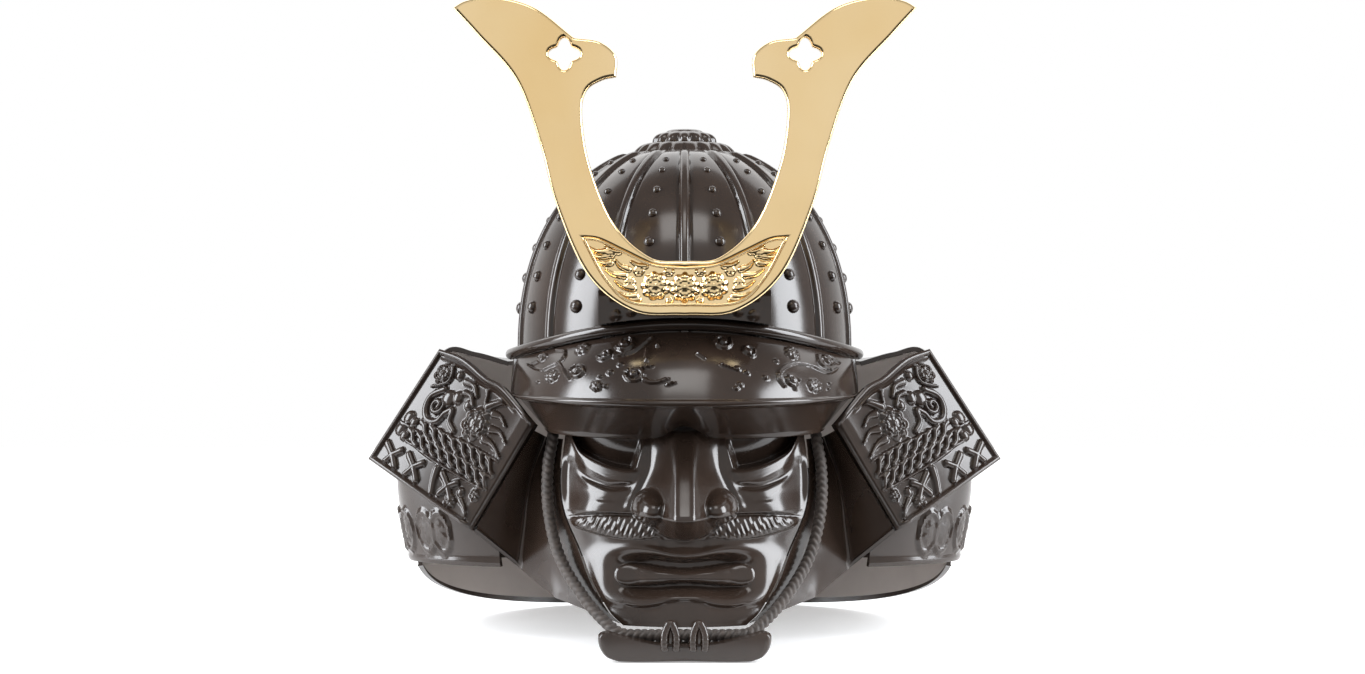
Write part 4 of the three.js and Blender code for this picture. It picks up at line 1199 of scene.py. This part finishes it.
# Strokes through points, with the half width at their start and at their end.
PANEL_STROKES = (
    (((82.5, 76.2), (78.5, 70.3), (78.2, 64.9), (82.5, 61.2), (88.0, 58.4)), 1.5, 1.1),
    (((77.2, 60.1), (84.0, 52.9), (82.8, 44.7), (76.5, 39.6), (69.0, 41.5), (66.8, 48.5)), 2.6, 2.2),
    (((66.8, 48.5), (62.8, 52.9), (60.2, 46.7), (53.0, 43.6)), 2.4, 1.8),
    (((62.0, 77.5), (54.0, 79.0), (46.6, 75.0), (43.0, 68.5)), 1.6, 1.2),
    (((66.0, 71.5), (58.0, 73.0), (52.0, 69.0)), 2.4, 1.6),
    (((62.0, 66.0), (56.0, 67.0), (50.5, 63.0)), 2.0, 1.4),
    (((40.2, 66.4), (32.0, 74.5), (22.4, 78.0)), 3.0, 1.0),
    (((33.5, 65.6), (27.0, 67.5), (20.0, 66.1)), 2.6, 0.9),
    (((29.6, 50.4), (21.0, 51.4), (11.0, 49.2)), 2.8, 0.9),
    (((29.0, 57.6), (21.0, 60.4), (12.5, 58.6)), 2.6, 0.9),
    (((20.0, 12.0), (13.5, 8.9), (9.4, 4.8)), 2.4, 0.9),
    (((48.6, 18.8), (46.0, 11.8), (42.0, 4.6)), 2.8, 2.0),
)
# The rope bands: the middle of the first strand and of the last, and how many strands.
ROPE_BANDS = (((73.0, 33.6), (14.0, 40.6), 8), ((78.5, 26.0), (11.0, 30.6), 9))
# One S-shaped strand, from its middle.
ROPE_STRAND = ((6.0, 2.9), (2.0, 1.9), (-2.0, -1.9), (-6.0, -2.9))
# The thin lines above, between and below the rope bands.
BAND_LINES = (
    ((80.0, 37.4), (43.8, 40.8), (11.0, 46.4)),
    ((94.5, 30.3), (56.5, 30.5), (8.5, 35.6)),
    ((82.0, 21.8), (40.8, 22.2), (9.5, 26.0)),
)
# The crosses' middles, and the ends of their arms from there.
CROSS_MIDDLES = ((85.2, 10.6), (65.0, 11.9), (34.0, 14.2))
CROSS_ARMS = ((8.6, 4.2), (-4.6, 4.8), (2.8, -6.6), (-7.2, -5.6))


def turnback_ornament(a, b):
    """Relief of the turnback's panel: flowers and clouds, two rope bands, and a row of crosses."""
    flat = np.stack([a.reshape(-1), b.reshape(-1)], axis=1) * TURNBACK_SPAN
    height = np.zeros(len(flat))

    def add(more):
        np.maximum(height, more, out=height)

    for middle, radius, petals in PANEL_FLOWERS:
        add(flower_height(flat, middle, radius, petals, 3.2, 0.4))
    for middle, radius in PANEL_KNOBS:
        add(knob_height(flat, middle, radius, 2.4))
    for places, start, end in PANEL_STROKES:
        add(stroke_height(flat, smooth_line(places, 8 * len(places)), start, end, 2.8))
    add(stroke_height(flat, spiral((75.5, 49.8), 5.4, 1.2, 2.4, 1.2), 1.5, 2.0, 2.8))
    for first, last, count in ROPE_BANDS:
        for share in np.linspace(0, 1, count):
            x, y = mix(np.array(first), np.array(last), share)
            line = smooth_line([(x + dx, y + dy) for dx, dy in ROPE_STRAND], 16)
            add(stroke_height(flat, line, 2.0, 1.7, 2.6))
    for places in BAND_LINES:
        add(stroke_height(flat, smooth_line(places, 30), 0.9, 0.9, 1.6))
    for middle in CROSS_MIDDLES:
        for arm in CROSS_ARMS:
            add(stroke_height(flat, [middle, np.add(middle, arm)], 2.3, 2.5, 2.9))
    return height.reshape(a.shape)


def turnback_surface():
    """The left turnback's panel from its rounded ridge to its outer edge, with its relief."""
    c = {name: np.array(value) for name, value in TURNBACK_CORNERS.items()}
    columns, rows = 180, 150
    a1, b1 = np.linspace(0, 1, columns), np.linspace(0, 1, rows)
    top = smooth_line(TURNBACK_TOP_EDGE, columns)
    low = mix(c["foot"], c["outer"], a1[:, None])
    ridge = mix(c["foot"], c["ridge"], b1[:, None])
    outer = mix(c["outer"], c["top"], b1[:, None])
    a, b = np.meshgrid(a1, b1, indexing="ij")
    bilinear = (
        c["foot"] * ((1 - a) * (1 - b))[..., None]
        + c["outer"] * (a * (1 - b))[..., None]
        + c["ridge"] * ((1 - a) * b)[..., None]
        + c["top"] * (a * b)[..., None]
    )
    flat = (
        top[:, None] * b[..., None]
        + low[:, None] * (1 - b)[..., None]
        + ridge[None] * (1 - a)[..., None]
        + outer[None] * a[..., None]
        - bilinear
    )
    normal = np.array([OUT_TILT, -1, UP_TILT])
    normal /= np.linalg.norm(normal)
    from_top = (1 - b) * TURNBACK_SPAN[1]
    from_low = b * TURNBACK_SPAN[1]
    from_outer = (1 - a) * TURNBACK_SPAN[0]
    from_ridge = a * TURNBACK_SPAN[0]
    from_edge = np.minimum(np.minimum(from_top, from_low), from_outer)
    sunk = 1.5 * step(2.6, 3.8, from_edge) * step(3, 9, from_ridge)
    bead = 0.9 * bell(from_edge, 1.5, 1.0) * step(0, 6, from_ridge)
    second = 1.3 * bell(from_top, 5.4, 0.8) * step(18, 24, from_ridge) * step(4, 8, from_outer)
    inside = step(3.6, 5.0, np.minimum(from_low, from_outer)) * step(6.4, 7.6, from_top)
    inside = inside * step(5, 9, from_ridge)
    relief = turnback_ornament(a, b) * inside
    roll = 7.5 * np.clip(1 - from_ridge / 13.0, 0, 1) ** 2
    bulge = 2.2 * ((from_ridge - 50) / 50) ** 2 * step(0, 30, from_ridge)
    lift = relief + bead + second - sunk - bulge
    base = np.stack([flat[..., 0], turnback_y(flat[..., 0], flat[..., 1]), flat[..., 1]], axis=-1)
    front = base + normal * lift[..., None] + np.array([0, 1, 0]) * roll[..., None]
    back = base - normal * 5.0 + np.array([0, 1, 0]) * roll[..., None]
    return front, back


def build_turnbacks():
    """Both turnbacks, each with its ornamented panel."""
    lacquer = shared("brown_lacquer", lacquer_material)
    points, faces = shell(*turnback_surface())
    add_piece("turnback_plate_left", points, faces, lacquer, "lacquer", "turnback_left", sharp=60)
    points, faces = mirrored(points, faces)
    add_piece("turnback_plate_right", points, faces, lacquer, "lacquer", "turnback_right", sharp=60)


# Where the medallions sit round each side of the middle lame, in radians behind its widest place.
MEDALLIONS = (-0.565, -0.45, -0.24, -0.05, 0.2, 0.34)
MEDALLION = dict(half_width=9.0, half_height=13.5, down=55.0)
MIDDLE_LAME_HEIGHT = 74.0


def build_neck_guard():
    """The three lames of the neck guard, with medallions on the middle one."""
    lacquer = shared("brown_lacquer", lacquer_material)
    for name, front_angle, columns, rows in (("upper", -0.2, 200, 40), ("lower", -0.05, 200, 20)):
        table = LAMES[name]
        around = np.linspace(front_angle, math.pi - front_angle, columns)
        a, v = np.meshgrid(around, np.linspace(0, table[-1, 0], rows), indexing="ij")
        grid = lame_points(table, a, v)
        normal = outward(grid)
        hem = 1.2 * bell((table[-1, 0] - v) / table[-1, 0] * 60, 2.2, 1.6)
        points, faces = shell(grid + normal * hem[..., None], grid - normal * 3.0)
        node = "neck_lame_" + name
        add_piece(node + "_skin", points, faces, lacquer, "lacquer", node, sharp=60)
        add_lining(node, grid, normal)
    build_middle_lame(lacquer)


def add_lining(name, grid, normal):
    """A pale sheet over the inner side of a lame."""
    inner = (grid - normal * 3.2)[2:-2:3, 1:-1:2]
    columns, rows = inner.shape[:2]
    lining = shared("pale_lining", lining_material)
    add_piece(name + "_lining", inner, grid_faces(columns, rows), lining, "lacquer")


def outward(grid):
    """Normals that face away from the helmet's upright axis."""
    normal = normals_of(grid)
    facing = np.sign((normal[..., :2] * grid[..., :2]).sum(axis=-1).mean())
    return normal * facing


def build_middle_lame(lacquer):
    """The middle lame, with oval medallions along each side."""
    table = LAMES["middle"]
    a, v = np.meshgrid(np.linspace(-0.87, math.pi + 0.87, 460), np.linspace(0, 2, 50), indexing="ij")
    grid = lame_points(table, a, v)
    normal = outward(grid)
    middle = grid[:, grid.shape[1] // 2]
    walked = np.concatenate([[0], np.cumsum(np.linalg.norm(np.diff(middle, axis=0), axis=1))])
    walked -= walked[-1] / 2
    arc = np.broadcast_to(walked[:, None], a.shape)
    down = v / table[-1, 0] * MIDDLE_LAME_HEIGHT
    flat = np.stack([-np.abs(arc).reshape(-1), -down.reshape(-1)], axis=1)
    height = np.zeros(len(flat))
    for around in MEDALLIONS:
        centre = np.array([-abs(float(np.interp(around, a[:, 0], walked))), -MEDALLION["down"]])
        scaled = (flat - centre) / [MEDALLION["half_width"], MEDALLION["half_height"]]
        away = np.linalg.norm(scaled, axis=1)
        ring = 2.0 * np.sqrt(np.clip(1 - ((away - 0.86) / 0.13) ** 2, 0, 1))
        field = 0.8 * (away < 0.9)
        bloom = flower_height(scaled, (0, 0), 0.66, 6, 2.0, 0.5)
        height = np.maximum(height, np.maximum(np.maximum(ring, field), bloom))
    hem = 1.1 * bell(MIDDLE_LAME_HEIGHT - down, 2.2, 1.6)
    lift = np.maximum(height.reshape(a.shape), hem)
    points, faces = shell(grid + normal * lift[..., None], grid - normal * 3.0)
    add_piece("neck_lame_middle_skin", points, faces, lacquer, "lacquer", "neck_lame_middle", sharp=60)


def moustache_hairs(x, z):
    """Fine slanted grooves over the moustache."""
    side = np.abs(x)
    low = through(HAIR_EDGE, 1, side)
    top = through(CHEEK_EDGE, 1, side) - 0.6
    share = np.clip((z - low) / (top - low), 0, 1)
    band = step(0.04, 0.2, share) * (1 - step(0.82, 0.97, share))
    band = band * step(15, 22, side) * (1 - step(66, 74, side))
    wave = np.sin(2 * math.pi * (side / 4.4 + share * 2.1) + 1.1 * np.sin(side * 0.35))
    wave = wave + 0.6 * np.sin(2 * math.pi * (side / 2.9 + share * 1.1))
    return band * 0.34 * wave


def build_mask():
    """The face mask and its lining."""
    lacquer = shared("brown_lacquer", lacquer_material)
    share = np.linspace(-1, 1, 260)
    heights = np.linspace(20, 149, 220)
    s, z = np.meshgrid(share, heights, indexing="ij")
    x = s * (through(FACE, 1, z) - 0.5)
    front = mask_points(x, z)
    front[..., 1] -= moustache_hairs(x, z)
    add_piece("mask_face", front, grid_faces(260, 220), lacquer, "lacquer", "mask")
    s, z = np.meshgrid(np.linspace(-1, 1, 90), np.linspace(20, 149, 80), indexing="ij")
    x = s * (through(FACE, 1, z) - 0.5)
    outer = mask_points(x, z)
    lining = outer + [0, 4.0, 0]
    points, faces = shell(outer + [0, 0.4, 0], lining)
    inner_only = faces[grid_faces(90, 80).shape[0] :]
    add_piece("mask_lining", points, inner_only, lacquer, "lacquer")


def jaw_surface():
    """The left jaw guard from the ridge over the fold to the mask's edge."""
    u, v = np.meshgrid(np.linspace(0, 3, 90), np.linspace(0, 3, 70), indexing="ij")
    edge_z = through(JAW, 8, v)
    ridge = np.stack([through(JAW, 1, v), np.full(v.shape, JAW_RIDGE_Y), through(JAW, 2, v)], axis=-1)
    fold = np.stack([through(JAW, 3, v), np.full(v.shape, JAW_FOLD_Y), through(JAW, 4, v)], axis=-1)
    hollow = np.stack([through(JAW, 5, v), through(JAW, 6, v), through(JAW, 7, v)], axis=-1)
    edge = np.stack([-through(FACE, 1, edge_z) - 0.6, through(FACE, 2, edge_z) + 1, edge_z], axis=-1)
    first = mix(ridge, fold, np.clip(u, 0, 1)[..., None])
    second = mix(fold, hollow, np.clip(u - 1, 0, 1)[..., None])
    third = mix(hollow, edge, np.clip(u - 2, 0, 1)[..., None])
    return np.where((u <= 1)[..., None], first, np.where((u <= 2)[..., None], second, third))


def build_jaw_guards():
    """Both jaw guards, with a thin bead down the fold and a strip along the lower edge."""
    lacquer = shared("brown_lacquer", lacquer_material)
    front = jaw_surface()
    # Three passes round off the folds.
    for _ in range(3):
        inner = (front[:-2] + front[2:]) / 2
        front[1:-1] = mix(front[1:-1], inner, 0.7)
    columns, rows = front.shape[:2]
    u, v = np.meshgrid(np.linspace(0, 3, columns), np.linspace(0, 3, rows), indexing="ij")
    normal = normals_of(front)
    normal *= -np.sign(normal[..., 1].mean())
    strip = 1.0 * bell(v, 0.12, 0.05) * (1 - step(0.9, 1.1, u))
    fold = 1.1 * bell(u, 1.02, 0.035) * step(0.1, 0.3, v)
    front = front + normal * (strip + fold)[..., None]
    points, faces = shell(front, front + [0, 3.0, 0])
    add_piece("jaw_guard_wall_left", points, faces, lacquer, "lacquer", "jaw_guard_left", sharp=50)
    points, faces = mirrored(points, faces)
    add_piece("jaw_guard_wall_right", points, faces, lacquer, "lacquer", "jaw_guard_right", sharp=50)


def build_cord():
    """The braided chin cord over its whole route."""
    cord = shared("braided_silk", cord_material)
    left = np.array(CORD_LEFT, dtype=float)
    right = (left * [-1, 1, 1])[::-1]
    line = smooth_line(np.concatenate([left, right]), 800)
    walked = np.concatenate([[0], np.cumsum(np.linalg.norm(np.diff(line, axis=0), axis=1))])
    sides = 24
    grid = swept_tube(line, 1.0, sides)
    angle = np.linspace(0, 2 * math.pi, sides, endpoint=False)
    along, turn = np.meshgrid(walked, angle, indexing="ij")
    lean = 2 * math.pi * along / 9.0
    halves = np.abs(np.sin(turn))
    strands = np.abs(np.sin(lean - 1.6 * np.abs(((turn + math.pi / 2) % math.pi) - math.pi / 2)))
    radius = CORD_RADIUS - 1.3 + 1.3 * strands**0.7 * (0.75 + 0.25 * halves)
    centre = line[:, None, :]
    grid = centre + (grid - centre) * radius[..., None]
    add_piece("chin_cord_braid", grid, tube_faces(len(line), sides), cord, "cord", "chin_cord")


def build_chin_bar():
    """The rounded chin bar, its shelf, and the two loops that hold the cord."""
    lacquer = shared("brown_lacquer", lacquer_material)
    half, end_z, middle_z = BAR["half_length"], BAR["end_z"], BAR["middle_z"]
    rise = [(0, middle_z), (20, middle_z + 1.2), (36, middle_z + 4.2), (47, end_z - 1.4), (51, end_z)]
    right = smooth_line(rise, 30)
    turn = [(51, end_z), (54.2, end_z - 1.5), (half, end_z - 5), (53.5, 8), (49.5, 3), (43, 0.4)]
    cap = smooth_line(turn, 30)
    low = np.array([[43, 0.4], [30, 0.0], [0, 0.0]])
    half_line = np.concatenate([right[:-1], cap[:-1], smooth_line(low, 12)])
    outline = np.concatenate([half_line, half_line[1:-1][::-1] * [-1, 1]])
    middle = np.array([0, 8.0])
    depth = BAR["back"] - BAR["front"]
    rows = []
    for t in np.linspace(0, math.pi, 17):
        shrink = 4.2 * (1 - math.sin(t) ** 0.55)
        inward = middle - outline
        length = np.linalg.norm(inward, axis=1, keepdims=True)
        ring = outline + inward / length * np.minimum(shrink, length * 0.5)
        ring[:, 1] = np.maximum(ring[:, 1], 0.0)
        y = BAR["front"] + depth * (1 - math.cos(t)) / 2
        rows.append(np.stack([ring[:, 0], np.full(len(ring), y), ring[:, 1]], axis=-1))
    grid = np.stack(rows, axis=1)
    columns, count = grid.shape[:2]
    faces = grid_faces(columns, count, ring=True).tolist()
    faces.append([i * count for i in range(columns)])
    faces.append([i * count + count - 1 for i in reversed(range(columns))])
    add_piece("chin_bar_front", grid, faces, lacquer, "lacquer", "chin_bar", sharp=50)
    s = SHELF
    x = s["half_length"]
    y0, y1, z1 = BAR["back"] - 3, s["back"], s["z"]
    lip = 2.0
    section = [(y0, 0.0), (y1 - lip, 0.0), (y1, lip), (y1, z1 - lip), (y1 - lip, z1), (y0, z1)]
    profile = smooth_line(section, 40)
    across = np.linspace(-x, x, 24)
    shelf = np.stack(
        [np.stack([np.full(40, px), profile[:, 0], np.maximum(profile[:, 1], 0)], axis=-1) for px in across]
    )
    shelf_faces = grid_faces(24, 40).tolist()
    shelf_faces.append(list(range(40)))
    shelf_faces.append([23 * 40 + k for k in reversed(range(40))])
    add_piece("chin_shelf", shelf, shelf_faces, lacquer, "lacquer", sharp=50)
    build_knots()


def build_knots():
    """The two lacquered loops over the chin bar, each with a short tongue inside it."""
    lacquer = shared("brown_lacquer", lacquer_material)
    y = BAR["front"] - 2.3
    for side, name in ((-1, "left"), (1, "right")):
        points, faces = [], []
        x = side * 9.0
        path = [
            (-3.6, y, 7.8),
            (-3.9, y - 0.4, 13),
            (-3.4, y, 19),
            (0, y + 1, 25),
            (3.4, y, 19),
            (3.9, y - 0.4, 13),
            (3.6, y, 7.8),
        ]
        line = smooth_line([(x + dx, py, pz) for dx, py, pz in path], 60)
        ripple = 2.3 + 0.25 * np.abs(np.sin(np.arange(60) * 0.75))
        grid = swept_tube(line, ripple, 14)
        points.append(grid.reshape(-1, 3))
        faces += tube_faces(60, 14)
        inner = [(0, y + 2.4, 21), (0.2, y + 0.6, 17), (0, y + 1.0, 12.5)]
        grid = swept_tube(smooth_line([(x + dx, py, pz) for dx, py, pz in inner], 24), 1.7, 12)
        faces += tube_faces(24, 12, start=60 * 14)
        points.append(grid.reshape(-1, 3))
        add_piece("chin_loop_" + name, np.concatenate(points), faces, lacquer, "lacquer", "chin_knot_" + name)


# ---------- stage ----------
# The studio's soft lamps: name, place and size in metres, what it shines at, brightness and colour.
LAMPS = (
    ("left_softbox", (-1.5, -0.36, 0.7), (0.8, 1.3), (0, 0, 0.2), 14.0, (0.93, 0.96, 1.0)),
    ("right_softbox", (1.5, -0.36, 0.7), (0.8, 1.3), (0, 0, 0.2), 14.0, (0.93, 0.96, 1.0)),
    ("key_softbox", (0, -1.2, 2.1), (1.0, 0.7), (0, 0, 0.2), 4.5, (1.0, 0.98, 0.96)),
    ("floor_wash", (0, 1.8, 1.9), (4.4, 2.2), (0, 1.8, 0), 1.5, (1, 1, 1)),
)
FLOOR = dict(half_width=3.2, front=-0.26, back=2.6, drop=0.0004)
# What the pieces see of the studio's walls, from in front (0) to behind (1) and from below (0) to above (1).
WALLS_BY_DEPTH = ((0.0, 0.9), (0.3, 0.5), (0.6, 0.3), (0.85, 0.95), (1.0, 1.0))
WALLS_BY_HEIGHT = ((0.0, 0.05), (0.4, 0.08), (0.48, 1.0), (1.0, 1.0))
# How far the camera stands to the side of the helmet's middle, in metres.
CAMERA_SIDE = -0.0014


def add_lamp(name, place, size, aim, brightness, colour):
    """A soft rectangular lamp."""
    data = bpy.data.lights.new(name, "AREA")
    data.shape = "RECTANGLE"
    data.size, data.size_y = size
    data.energy = brightness * math.pi * size[0] * size[1] * bpy.context.scene.helmet_looks.lamp_strength
    data.color = colour
    lamp = bpy.data.objects.new(name, data)
    lamp.location = place
    lamp.rotation_euler = (Vector(aim) - Vector(place)).to_track_quat("-Z", "Y").to_euler()
    bpy.context.scene.collection.objects.link(lamp)


def build_floor():
    """The plain pale floor."""
    x, y = np.meshgrid(
        np.linspace(-FLOOR["half_width"], FLOOR["half_width"], 9),
        np.linspace(FLOOR["front"], FLOOR["back"], 9),
        indexing="ij",
    )
    grid = np.stack([x, y, np.full(x.shape, -FLOOR["drop"])], axis=-1).reshape(-1, 3)
    mesh = bpy.data.meshes.new("floor")
    mesh.from_pydata(grid.tolist(), [], grid_faces(9, 9).tolist())
    mesh.materials.append(shared("pale_floor", floor_material))
    floor = bpy.data.objects.new("floor", mesh)
    bpy.context.scene.collection.objects.link(floor)


def build_surroundings():
    """The studio's walls: white to look at, dim at the sides and below in what the lacquer mirrors."""
    world = bpy.data.worlds.new("studio")
    world.use_nodes = True
    nodes, links = world.node_tree.nodes, world.node_tree.links
    background = nodes["Background"]
    place = nodes.new("ShaderNodeTexCoord")
    split = nodes.new("ShaderNodeSeparateXYZ")
    links.new(place.outputs["Generated"], split.inputs["Vector"])
    glow = nodes.new("ShaderNodeMath")
    glow.operation = "MULTIPLY"
    for i, (axis, stops) in enumerate((("Y", WALLS_BY_DEPTH), ("Z", WALLS_BY_HEIGHT))):
        shift = nodes.new("ShaderNodeMapRange")
        shift.inputs["From Min"].default_value = -1.0
        links.new(split.outputs[axis], shift.inputs["Value"])
        ramp = add_ramp(world.node_tree, shift.outputs["Result"], [(share, grey(v)) for share, v in stops])
        links.new(ramp.outputs["Color"], glow.inputs[i])
    links.new(glow.outputs["Value"], background.inputs["Color"])
    background.inputs["Strength"].default_value = bpy.context.scene.helmet_looks.world_strength
    backdrop = nodes.new("ShaderNodeBackground")
    backdrop.inputs["Color"].default_value = (1, 1, 1, 1)
    path = nodes.new("ShaderNodeLightPath")
    choose = nodes.new("ShaderNodeMixShader")
    links.new(path.outputs["Is Camera Ray"], choose.inputs["Fac"])
    links.new(background.outputs["Background"], choose.inputs[1])
    links.new(backdrop.outputs["Background"], choose.inputs[2])
    links.new(choose.outputs["Shader"], nodes["World Output"].inputs["Surface"])
    bpy.context.scene.world = world


def build_camera():
    """The camera, level and straight in front."""
    look = bpy.context.scene.helmet_looks
    data = bpy.data.cameras.new("camera")
    data.sensor_width = 36
    data.lens = look.camera_lens
    data.clip_start = 0.01
    data.clip_end = 30
    camera = bpy.data.objects.new("camera", data)
    camera.location = (CAMERA_SIDE, -look.camera_distance, look.camera_height)
    camera.rotation_euler = (math.pi / 2, 0, 0)
    bpy.context.scene.collection.objects.link(camera)
    bpy.context.scene.camera = camera


def build_stage():
    """The pale floor, the studio's light, and the camera."""
    build_floor()
    build_surroundings()
    for lamp in LAMPS:
        add_lamp(*lamp)
    build_camera()
    bpy.context.scene.view_settings.view_transform = "Standard"


# ---------- settings, operators and panel ----------
class HelmetLooks(bpy.types.PropertyGroup):
    """Colours and light of the helmet's scene."""

    lacquer_colour: bpy.props.FloatVectorProperty(
        name="Lacquer", description="Colour of the lacquered pieces", subtype="COLOR", size=4, min=0, max=1,
        default=(0.024, 0.0155, 0.0115, 1),
    )
    gold_colour: bpy.props.FloatVectorProperty(
        name="Gold", description="Colour of the crest's plating", subtype="COLOR", size=4, min=0, max=1,
        default=(0.93, 0.73, 0.43, 1),
    )
    cord_colour: bpy.props.FloatVectorProperty(
        name="Cord", description="Colour of the chin cord", subtype="COLOR", size=4, min=0, max=1,
        default=(0.03, 0.021, 0.016, 1),
    )
    world_strength: bpy.props.FloatProperty(
        name="Studio glow", description="Brightness of the studio's surroundings", default=1.0, min=0
    )
    lamp_strength: bpy.props.FloatProperty(
        name="Lamp strength", description="Brightness of the lamps together", default=1.0, min=0
    )
    camera_distance: bpy.props.FloatProperty(
        name="Camera distance", description="From the helmet's middle", default=1.61415, unit="LENGTH"
    )
    camera_lens: bpy.props.FloatProperty(
        name="Camera lens", description="Focal length in millimetres", default=60.29, min=1
    )
    camera_height: bpy.props.FloatProperty(
        name="Camera height", description="Above the floor", default=0.205, unit="LENGTH"
    )


class BuildOperator:
    """What every build operator shares."""

    bl_options = {"REGISTER", "UNDO"}

    def execute(self, context):
        self.build()
        return {"FINISHED"}


class HELMET_OT_bowl(BuildOperator, bpy.types.Operator):
    """Builds the ribbed bowl and its rivets"""

    bl_idname = "helmet.bowl"
    bl_label = "Bowl"
    build = staticmethod(build_bowl)


class HELMET_OT_finial(BuildOperator, bpy.types.Operator):
    """Builds the crown finial"""

    bl_idname = "helmet.finial"
    bl_label = "Crown finial"
    build = staticmethod(build_finial)


class HELMET_OT_bead(BuildOperator, bpy.types.Operator):
    """Builds the bead round the bowl"""

    bl_idname = "helmet.bead"
    bl_label = "Brow and rim bead"
    build = staticmethod(build_bead)


class HELMET_OT_visor(BuildOperator, bpy.types.Operator):
    """Builds the visor"""

    bl_idname = "helmet.visor"
    bl_label = "Visor"
    build = staticmethod(build_visor)


class HELMET_OT_brow_band(BuildOperator, bpy.types.Operator):
    """Builds the band under the visor"""

    bl_idname = "helmet.brow_band"
    bl_label = "Brow band"
    build = staticmethod(build_brow_band)


class HELMET_OT_crest(BuildOperator, bpy.types.Operator):
    """Builds the gold crest"""

    bl_idname = "helmet.crest"
    bl_label = "Crest"
    build = staticmethod(build_crest)


class HELMET_OT_crest_holder(BuildOperator, bpy.types.Operator):
    """Builds the crest's bracket"""

    bl_idname = "helmet.crest_holder"
    bl_label = "Crest bracket"
    build = staticmethod(build_crest_holder)


class HELMET_OT_turnbacks(BuildOperator, bpy.types.Operator):
    """Builds both turnbacks"""

    bl_idname = "helmet.turnbacks"
    bl_label = "Turnbacks"
    build = staticmethod(build_turnbacks)


class HELMET_OT_neck_guard(BuildOperator, bpy.types.Operator):
    """Builds the neck guard's lames"""

    bl_idname = "helmet.neck_guard"
    bl_label = "Neck guard"
    build = staticmethod(build_neck_guard)


class HELMET_OT_mask(BuildOperator, bpy.types.Operator):
    """Builds the face mask"""

    bl_idname = "helmet.mask"
    bl_label = "Face mask"
    build = staticmethod(build_mask)


class HELMET_OT_jaw_guards(BuildOperator, bpy.types.Operator):
    """Builds both jaw guards"""

    bl_idname = "helmet.jaw_guards"
    bl_label = "Jaw guards"
    build = staticmethod(build_jaw_guards)


class HELMET_OT_cord(BuildOperator, bpy.types.Operator):
    """Builds the chin cord"""

    bl_idname = "helmet.cord"
    bl_label = "Chin cord"
    build = staticmethod(build_cord)


class HELMET_OT_chin_bar(BuildOperator, bpy.types.Operator):
    """Builds the chin bar and its loops"""

    bl_idname = "helmet.chin_bar"
    bl_label = "Chin bar and loops"
    build = staticmethod(build_chin_bar)


class HELMET_OT_stage(BuildOperator, bpy.types.Operator):
    """Builds the floor, the light and the camera"""

    bl_idname = "helmet.stage"
    bl_label = "Stage"
    build = staticmethod(build_stage)


OPERATORS = (
    HELMET_OT_stage,
    HELMET_OT_bowl,
    HELMET_OT_finial,
    HELMET_OT_bead,
    HELMET_OT_visor,
    HELMET_OT_brow_band,
    HELMET_OT_crest,
    HELMET_OT_crest_holder,
    HELMET_OT_turnbacks,
    HELMET_OT_neck_guard,
    HELMET_OT_mask,
    HELMET_OT_jaw_guards,
    HELMET_OT_cord,
    HELMET_OT_chin_bar,
)


class HELMET_PT_panel(bpy.types.Panel):
    """Lists the helmet's settings and build steps"""

    bl_idname = "HELMET_PT_panel"
    bl_label = "Helmet"
    bl_space_type = "VIEW_3D"
    bl_region_type = "UI"
    bl_category = "Helmet"

    def draw(self, context):
        looks = context.scene.helmet_looks
        for name in looks.bl_rna.properties.keys():
            if name not in ("rna_type", "name"):
                self.layout.prop(looks, name)
        for operator in OPERATORS:
            self.layout.operator(operator.bl_idname)


CLASSES = (HelmetLooks, *OPERATORS, HELMET_PT_panel)


def register():
    for cls in CLASSES:
        bpy.utils.register_class(cls)
    bpy.types.Scene.helmet_looks = bpy.props.PointerProperty(type=HelmetLooks)


def unregister():
    del bpy.types.Scene.helmet_looks
    for cls in reversed(CLASSES):
        bpy.utils.unregister_class(cls)


def main():
    """Builds everything in order."""
    register()
    for operator in OPERATORS:
        group, name = operator.bl_idname.split(".")
        getattr(getattr(bpy.ops, group), name)()


if __name__ == "__main__":
    main()
